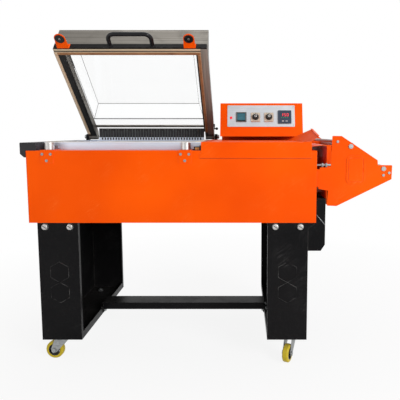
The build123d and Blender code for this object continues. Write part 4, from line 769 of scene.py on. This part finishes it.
# %% Trims under the right rail and along the front
matt_steel, tree, shader = start_material("matt_steel", 0.62, 0.05)
cross = use(tree, brushed_grain, Stretch=(500.0, 20.0, 20.0), Waves=5.0)
steel_shade = lay_over(tree, cross.outputs["Streak"], (0.30, 0.275, 0.24), (0.16, 0.145, 0.125))
steel_shade = lay_over(tree, cross.outputs["Grain"], steel_shade, (0.22, 0.20, 0.17))
feed(shader.inputs["Base Color"], steel_shade)
add_bump(tree, shader, cross.outputs["Grain"], 0.00005, 0.4)
phenolic = moulded("phenolic_strip", (0.60, 0.49, 0.34), 0.5, 900.0, 1.15, 0.05, 0.1)
trim_top, trim_rounding = -7.9, 0.4
rail_trim = bar((576.6, -505.5, -9.2), (601.6, -26.0, trim_top), trim_rounding)
set_down("rail_trim", [rail_trim], hood_place, matt_steel, "hood")
front_trim = bar((30.4, -505.6, -9.4), (576.0, -498.0, trim_top), trim_rounding)
set_down("front_trim", [front_trim], hood_place, phenolic, "hood")

# %% [markdown]
# **Handle.** The handle is one bent round bar on two round feet. A ring of points is extruded out of the
# rail, spun a quarter turn round the bend, extruded along, spun again and brought back. Then both ends are
# closed. That is how a tube is bent on a machine, and it keeps the section round everywhere.

# %% Bend the handle
grip_middle, grip_half, grip_tip, grip_radius, grip_bend = 320.5, 78.5, -563.5, 7.8, 24.0
rail_face, rail_middle_height, sunk = -512.0, 3.0, 1.0
ring_at = Vector((grip_middle - grip_half, rail_face + sunk, rail_middle_height))
straight = rail_face + sunk - (grip_tip + grip_bend)
bpy.ops.mesh.primitive_circle_add(
    vertices=20, radius=grip_radius * MM, rotation=(pi / 2, 0, 0), location=ring_at * MM)
grip = bpy.context.object
bpy.ops.object.transform_apply(location=True, rotation=True, scale=True)
bpy.ops.object.mode_set(mode="EDIT")
bpy.ops.mesh.select_mode(type="EDGE")
bpy.ops.mesh.select_all(action="SELECT")
for side, run in ((-1, (0.0, -straight, 0.0)), (1, (2 * (grip_half - grip_bend), 0.0, 0.0))):
    extrude(*run)
    bend_x = grip_middle + side * (grip_half - grip_bend)
    bend_at = Vector((bend_x, grip_tip + grip_bend, rail_middle_height)) * MM
    bpy.ops.mesh.spin(steps=10, angle=-pi / 2, center=bend_at, axis=(0, 0, 1))
extrude(0.0, straight, 0.0)
bpy.ops.mesh.select_all(action="SELECT")
bpy.ops.mesh.remove_doubles(threshold=0.01 * MM)
bpy.ops.mesh.fill_holes(sides=0)
bpy.ops.mesh.normals_make_consistent(inside=False)
bpy.ops.object.mode_set(mode="OBJECT")
foot_radius, foot_thickness, foot_rim = 10.4, 5.0, 1.6
foot_y = rail_face + sunk - foot_thickness / 2
feet = [shift(disc(foot_radius, foot_thickness, foot_rim, 3, 28),
              (grip_middle + side * grip_half, foot_y, rail_middle_height), 90.0, "X")
        for side in (-1, 1)]
handle = set_down("bent_handle", [grip] + feet, hood_place, gloss_black, "hood")
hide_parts("hood_handle")

# %% [markdown]
# **Controls.** The controller shows its set temperature in red segments. Each digit is a row of lit
# bars, written with the letters that electronics uses for the seven segments. Dark ticks ring each
# timer, and each knob has a white pointer that turns with it. A row of small green lamps sits below the
# digits.

# %% Lit digits and the lamps below them
lit_red = lit_material("lit_segments", 0.3, 1400.0, 0.6, (1.0, 0.05, 0.06), (0.55, 0.0, 0.01), 0.9)
digit_width, digit_height, digit_pitch, segment, rise = 6.4, 10.4, 12.0, 1.4, 0.5
digits_middle = Vector((97.0, 3.0, 7.7))
segment_ends = {
    "a": ((0, 1), (1, 1)), "b": ((1, 0.5), (1, 1)), "c": ((1, 0), (1, 0.5)), "d": ((0, 0), (1, 0)),
    "e": ((0, 0), (0, 0.5)), "f": ((0, 0.5), (0, 1)), "g": ((0, 0.5), (1, 0.5)),
}


def digit(letters, number):
    """The lit segments of one digit, counted from the left."""
    corner = digits_middle + Vector(
        ((number - 1) * digit_pitch - digit_width / 2, -digit_height / 2, 0.0))
    edge = Vector((segment / 2, segment / 2, 0.0))
    made = []
    for letter in letters:
        low, high = (corner + Vector((u * digit_width, v * digit_height, 0.0))
                     for u, v in segment_ends[letter])
        made.append(bar(low - edge, high + edge + Vector((0, 0, rise)), 0.2, 1))
    return made


lit = [part for number, letters in enumerate(("bc", "acdfg", "abcdef")) for part in digit(letters, number)]
set_down("display_digits", lit, panel_place, lit_red, "machine")
lit_green = moulded("lamp_green", (0.03, 0.42, 0.16), 0.3, 900.0, 1.4, 0.0, 0.1)
lamp_low, lamp_high = Vector((-1.8, -12.6, 0.0)), Vector((1.8, -10.4, rise))
lamp_middles = [digits_middle + Vector((u, 0.0, 0.0)) for u in (-12.0, -4.0, 4.0, 12.0)]
lamp_row = [bar(middle + lamp_low, middle + lamp_high, 0.2, 1) for middle in lamp_middles]
set_down("controller_lamps", lamp_row, panel_place, lit_green, "machine")

# %% Ticks and pointers of the timers
print_white = moulded("print_white", (0.72, 0.72, 0.70), 0.5, 900.0, 1.1, 0.1, 0.1)
print_brown = moulded("print_brown", (0.13, 0.075, 0.05), 0.5, 900.0, 1.3, 0.1, 0.1)
timer_middles = {"timer_knob_seal": Vector((-23, -6, 0)), "timer_knob_shrink": Vector((32, -6, 0))}
timer_face, knob_top, sweep, ticks, pointer_turn = 6.5, 20.8, 300.0, 11, 60.0
tick_low, tick_high = (-0.6, 14.6, timer_face - 0.3), (0.6, 17.8, timer_face + 0.25)
dial = [shift(bar(tick_low, tick_high, 0.1, 1), middle, sweep * (0.5 - number / (ticks - 1)))
        for middle in timer_middles.values() for number in range(ticks)]
set_down("timer_dials", dial, panel_place, print_brown, "machine")
for knob, middle in timer_middles.items():
    pointer = bar((5.5, -1.0, knob_top - 0.4), (10.6, 1.0, knob_top + 0.4), 0.25)
    shift(pointer, middle, pointer_turn)
    set_down(knob + "_pointer", [pointer], panel_place, print_white, knob)

# %% [markdown]
# **Fastenings.** The panel and the two armature discs are held by socket screws. One screw is modelled
# face up at the origin: the head's rim is bevelled, and the socket is an inset face pushed down. Copies
# of it are set where the fitter would put them. A larger copy is the plated cap of each timer knob.

# %% Socket screws of the panel and the armature discs


def screw(place, radius, height):
    """A socket screw whose seat is at a place in millimetres."""
    piece = disc(radius, height, 0.22 * height, 3, 24)
    bpy.ops.object.mode_set(mode="EDIT")
    pick(faces=lambda f: f.normal.z > 0.9 and len(f.verts) > 8)
    bpy.ops.mesh.inset(thickness=0.36 * radius * MM)
    extrude(0.0, 0.0, -0.55 * height)
    bpy.ops.object.mode_set(mode="OBJECT")
    return shift(piece, Vector(place) + Vector((0.0, 0.0, height / 2)))


for knob, middle in timer_middles.items():
    cap = screw(middle + Vector((0.0, 0.0, knob_top - 1.2)), 5.2, 2.0)
    set_down(knob + "_cap", [cap], panel_place, nickel, knob)
panel_face, corner_u, corner_v = 1.4, 133.0, 40.0
panel_screws = [screw((u, v, panel_face), 2.2, 1.4)
                for u in (-corner_u, corner_u) for v in (-corner_v, corner_v)]
set_down("panel_screws", panel_screws, panel_place, nickel, "machine")
disc_xs, disc_y, disc_seat = (72.0, 538.0), -554.0, -11.5
armature_screws = [shift(screw((0.0, 0.0, 0.0), 4.2, 2.2), (x, disc_y, disc_seat), 180.0, "X")
                   for x in disc_xs]
set_down("armature_screws", armature_screws, hood_place, nickel, "hood")

# %% [markdown]
# ** Cable gland and cradle hardware.** The gland's nut is a hexagon with a bore: its two ends are inset
# and bridged. Plated studs with such nuts hold the cradle to the casing, and the limit switch has its
# amber body between the ears. The stand's bolts are capped by slotted domes: a disc whose rim is bevelled
# almost to the middle, and a dark bar across each dome paints the shade in its slot. A plated bead along
# the electrical box's bent lid edge paints the highlight on that edge.

# %% Nuts and studs


def nut(place, radius, height, bore_share=0.62):
    """A hexagon nut with a bore, its axis along Z, with its foot at a place in millimetres."""
    bpy.ops.mesh.primitive_cylinder_add(vertices=6, radius=radius * MM, depth=height * MM)
    piece = bpy.context.object
    bpy.ops.object.mode_set(mode="EDIT")
    bpy.ops.mesh.select_all(action="SELECT")
    bevel(0.07 * radius, 2)
    pick(faces=lambda f: abs(f.normal.z) > 0.99 and len(f.verts) == 6)
    bpy.ops.mesh.inset(thickness=(1.0 - bore_share) * radius * MM)
    bpy.ops.mesh.bridge_edge_loops()
    bpy.ops.object.mode_set(mode="OBJECT")
    return shift(piece, Vector(place) + Vector((0.0, 0.0, height / 2)))


gland_nut = nut((985.0, 112.0, 409.0), 16.0, 7.0, 0.78)
set_down("gland_nut", [gland_nut], casing_place, black_plastic, "machine")
stud_height, stud_y, stud_starts, stud_ends = 717.0, 9.0, 984.5, 1032.5
hardware = [bead((stud_starts, stud_y, stud_height), (stud_ends, stud_y, stud_height), 3.4)]
for x in (1001.0, 1014.0):
    stud_nut = nut((0.0, 0.0, 0.0), 7.6, 6.0, 0.5)
    hardware.append(shift(stud_nut, (x, stud_y, stud_height), 90.0, "Y"))
set_down("cradle_stud", hardware, casing_place, zinc, "machine")

# %% Slotted domes of the stand's bolts with painted slot shade, a painted highlight on the lid's edge, and the switch's body
dome_radius, dome_height, dome_y, bolt_height = 10.6, 4.6, 1.2, 504.0
slot_low, slot_high, slot_turn = (-8.4, -1.5, -1.1), (8.4, -0.6, 1.1), 33.0
domes, bolt_slot_shade = [], []
for x in (53.0, 139.0, 846.0, 932.0):
    dome = disc(dome_radius, dome_height, 0.72 * dome_height, 5, 32)
    domes.append(shift(dome, (x, dome_y, bolt_height), 90.0, "X"))
    # A dark bar across each dome: painted shade in the bolt's slot.
    slot = bar(slot_low, slot_high, 0.2, 1)
    bolt_slot_shade.append(shift(slot, (x, 0.0, bolt_height), slot_turn, "Y"))
set_down("bolt_domes", domes, casing_place, nickel, "machine")
set_down("bolt_slot_shade", bolt_slot_shade, casing_place, core_black, "machine")
# A plated bead along the lid's bent edge: a painted highlight on that edge.
lid_highlight = bead((987.5, 11.4, 545.0), (1016.8, 11.4, 510.0), 0.9)
set_down("box_lid_highlight", [lid_highlight], casing_place, zinc, "machine")
amber = moulded("switch_amber", (0.62, 0.36, 0.10), 0.35, 900.0, 1.3, 0.05)
amber_block = bar((571.0, 21.4, 768.0), (585.0, 22.4, 776.0), 0.4)
set_down("switch_body", [amber_block], casing_place, amber, "machine")

# %% [markdown]
# ** Slotted rail, comb and skirt shade.** Behind the chamber the rail has a row of slots, one under each
# gap of the comb; dark bars paint the shade in them. The comb's teeth carry paler ribs, a painted
# highlight. A dark line below the table's skirt paints the shade along that joint.

# %% Painted shade in the rear rail's slots, painted highlights on the comb's ribs, and the painted shade line under the skirt
slot_pitch, slot_count, rail_middle = 12.4, 37, 317.0
slot_xs = [rail_middle + (number - (slot_count - 1) / 2) * slot_pitch for number in range(slot_count)]
# Dark bars on the rail: painted shade in its slots.
slot_shade_bars = [bar((x - 3.3, 557.0, 794.2), (x + 3.3, 558.3, 804.0), 0.3, 1) for x in slot_xs]
set_down("rail_slot_shade", slot_shade_bars, casing_place, comb_black, "machine")
# Paler ribs on the comb's teeth: painted highlights.
rib_tops = (843.0, 834.0, 843.0)
rib_highlights = [bar((x - 0.9, 561.2, 808.0), (x + 0.9, 562.3, rib_tops[number % 3]), 0.3, 1)
        for number, x in enumerate(slot_xs)]
set_down("comb_rib_highlights", rib_highlights, casing_place, frame_grey, "machine")
# A dark red-brown line under the skirt's lower edge: painted shade along that joint.
skirt_shade = moulded("painted_skirt_shade", (0.42, 0.028, 0.002), 0.5, 700.0, 1.2, 0.1)
line = bar((588.4, -1.9, 739.4), (965.6, 0.2, 741.4), 0.5)
set_down("skirt_shade_line", [line], casing_place, skirt_shade, "machine")

# %% [markdown]
# **Covers on the cradle.** Each side plate has a slot for the film's brake, closed from outside by a thin
# pressed cover. It starts as a block whose four corners are rounded by a bevel. The face is then inset,
# sunk, inset again and raised, which leaves a groove with the same round corners.

# %% Pressed covers over the cradle's slots


def pressed_cover(outside, direction):
    """A cover on a side plate, pressed along Y, whose outer side faces a direction of 1 or -1."""
    thickness, groove_depth, border, groove_wall, groove_width, corner = 2.2, 1.9, 5.0, 0.8, 2.8, 15.0
    back, front = sorted((outside, outside + thickness * direction))
    piece = block((1086.0, back, 652.0), (1150.0, front, 748.0))
    bpy.ops.object.mode_set(mode="EDIT")
    pick(edges=lambda e: abs(e.verts[0].co.y - e.verts[1].co.y) > 0.5 * MM)
    bevel(corner, 6)
    pick(faces=lambda f: f.normal.y * direction > 0.99)
    bpy.ops.mesh.inset(thickness=border * MM)
    bpy.ops.mesh.inset(thickness=groove_wall * MM)
    extrude(0.0, -groove_depth * direction, 0.0)
    bpy.ops.mesh.inset(thickness=groove_width * MM)
    extrude(0.0, groove_depth * direction, 0.0)
    bpy.ops.object.mode_set(mode="OBJECT")
    return piece


covers = [pressed_cover(10.0, -1), pressed_cover(563.0, 1)]
set_down("cradle_covers", covers, casing_place, orange_coat, "machine")

# %% [markdown]
# **Web of the cradle.** A sheet ties the lower ends of the two side plates and faces the casing. It lies in
# the shade, so the gap beside the casing looks deep red.

# %% Sheet between the side plates
web = bar((1026.2, 11.5, 577.0), (1028.0, 557.0, 706.0), 0.4)
set_down("cradle_web", [web], casing_place, orange_coat, "machine")

# %% [markdown]
# **Film wing.** The flap at the table's end lifts the folded film. It is folded here from one plane: the
# four corners are set, then one edge is extruded inwards as the foot and the raised edge as the lip. A
# Solidify modifier gives the sheet its thickness.

# %% Fold the wing from one sheet
fold_front, fold_rear = Vector((965.0, 2.0, 795.8)), Vector((920.0, 388.0, 795.8))
raised = fold_front + Vector((26.0, 0.0, 20.0))
peak = fold_front + 2.25 * (raised - fold_front) + 0.54 * (fold_rear - fold_front)
foot_width, lip_width, lip_rise, sheet_thickness = 14.0, 8.0, 1.0, 1.5
below_fold, above_raised = 0.797, 0.81
bpy.ops.mesh.primitive_plane_add(size=1.0)
wing = bpy.context.object
for vertex, corner in zip(wing.data.vertices, (fold_front, raised, fold_rear, peak)):
    vertex.co = corner * MM
bpy.ops.object.mode_set(mode="EDIT")
pick(edges=lambda e: all(v.co.z < below_fold for v in e.verts))
extrude(-foot_width, 0.0, 0.0)
pick(edges=lambda e: all(v.co.z > above_raised for v in e.verts))
extrude(-lip_width, 0.0, lip_rise)
bpy.ops.object.mode_set(mode="OBJECT")
sheet = wing.modifiers.new("sheet", "SOLIDIFY")
sheet.thickness = sheet_thickness * MM
sheet.offset = 0.0
bpy.ops.object.modifier_apply(modifier="sheet")
set_down("folded_wing", [wing], casing_place, orange_coat, "machine")
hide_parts("film_wing")

# %% [markdown]
# **Heater.** Six steel rods glow dull in use and look blued when cold. They run across the chamber
# below the net, on two holders.

# %% Heater rods on their holders
blued = metal(
    "blued_steel", (0.20, 0.19, 0.21), (0.07, 0.065, 0.085), 0.34, (20.0, 300.0, 300.0), 0.7, 0.1, 8.0)
rod_left, rod_right, rod_height, rod_radius = 67.5, 560.5, 668.0, 4.2
rods = [bead((rod_left, y, rod_height), (rod_right, y, rod_height), rod_radius)
        for y in (150.0, 215.0, 280.0, 370.0, 435.0, 500.0)]
holders = [bar((x - 4.0, 130.0, 641.6), (x + 4.0, 520.0, 666.0), 1.0) for x in (190.0, 438.0)]
set_down("heater_rods", rods + holders, casing_place, blued, "machine")
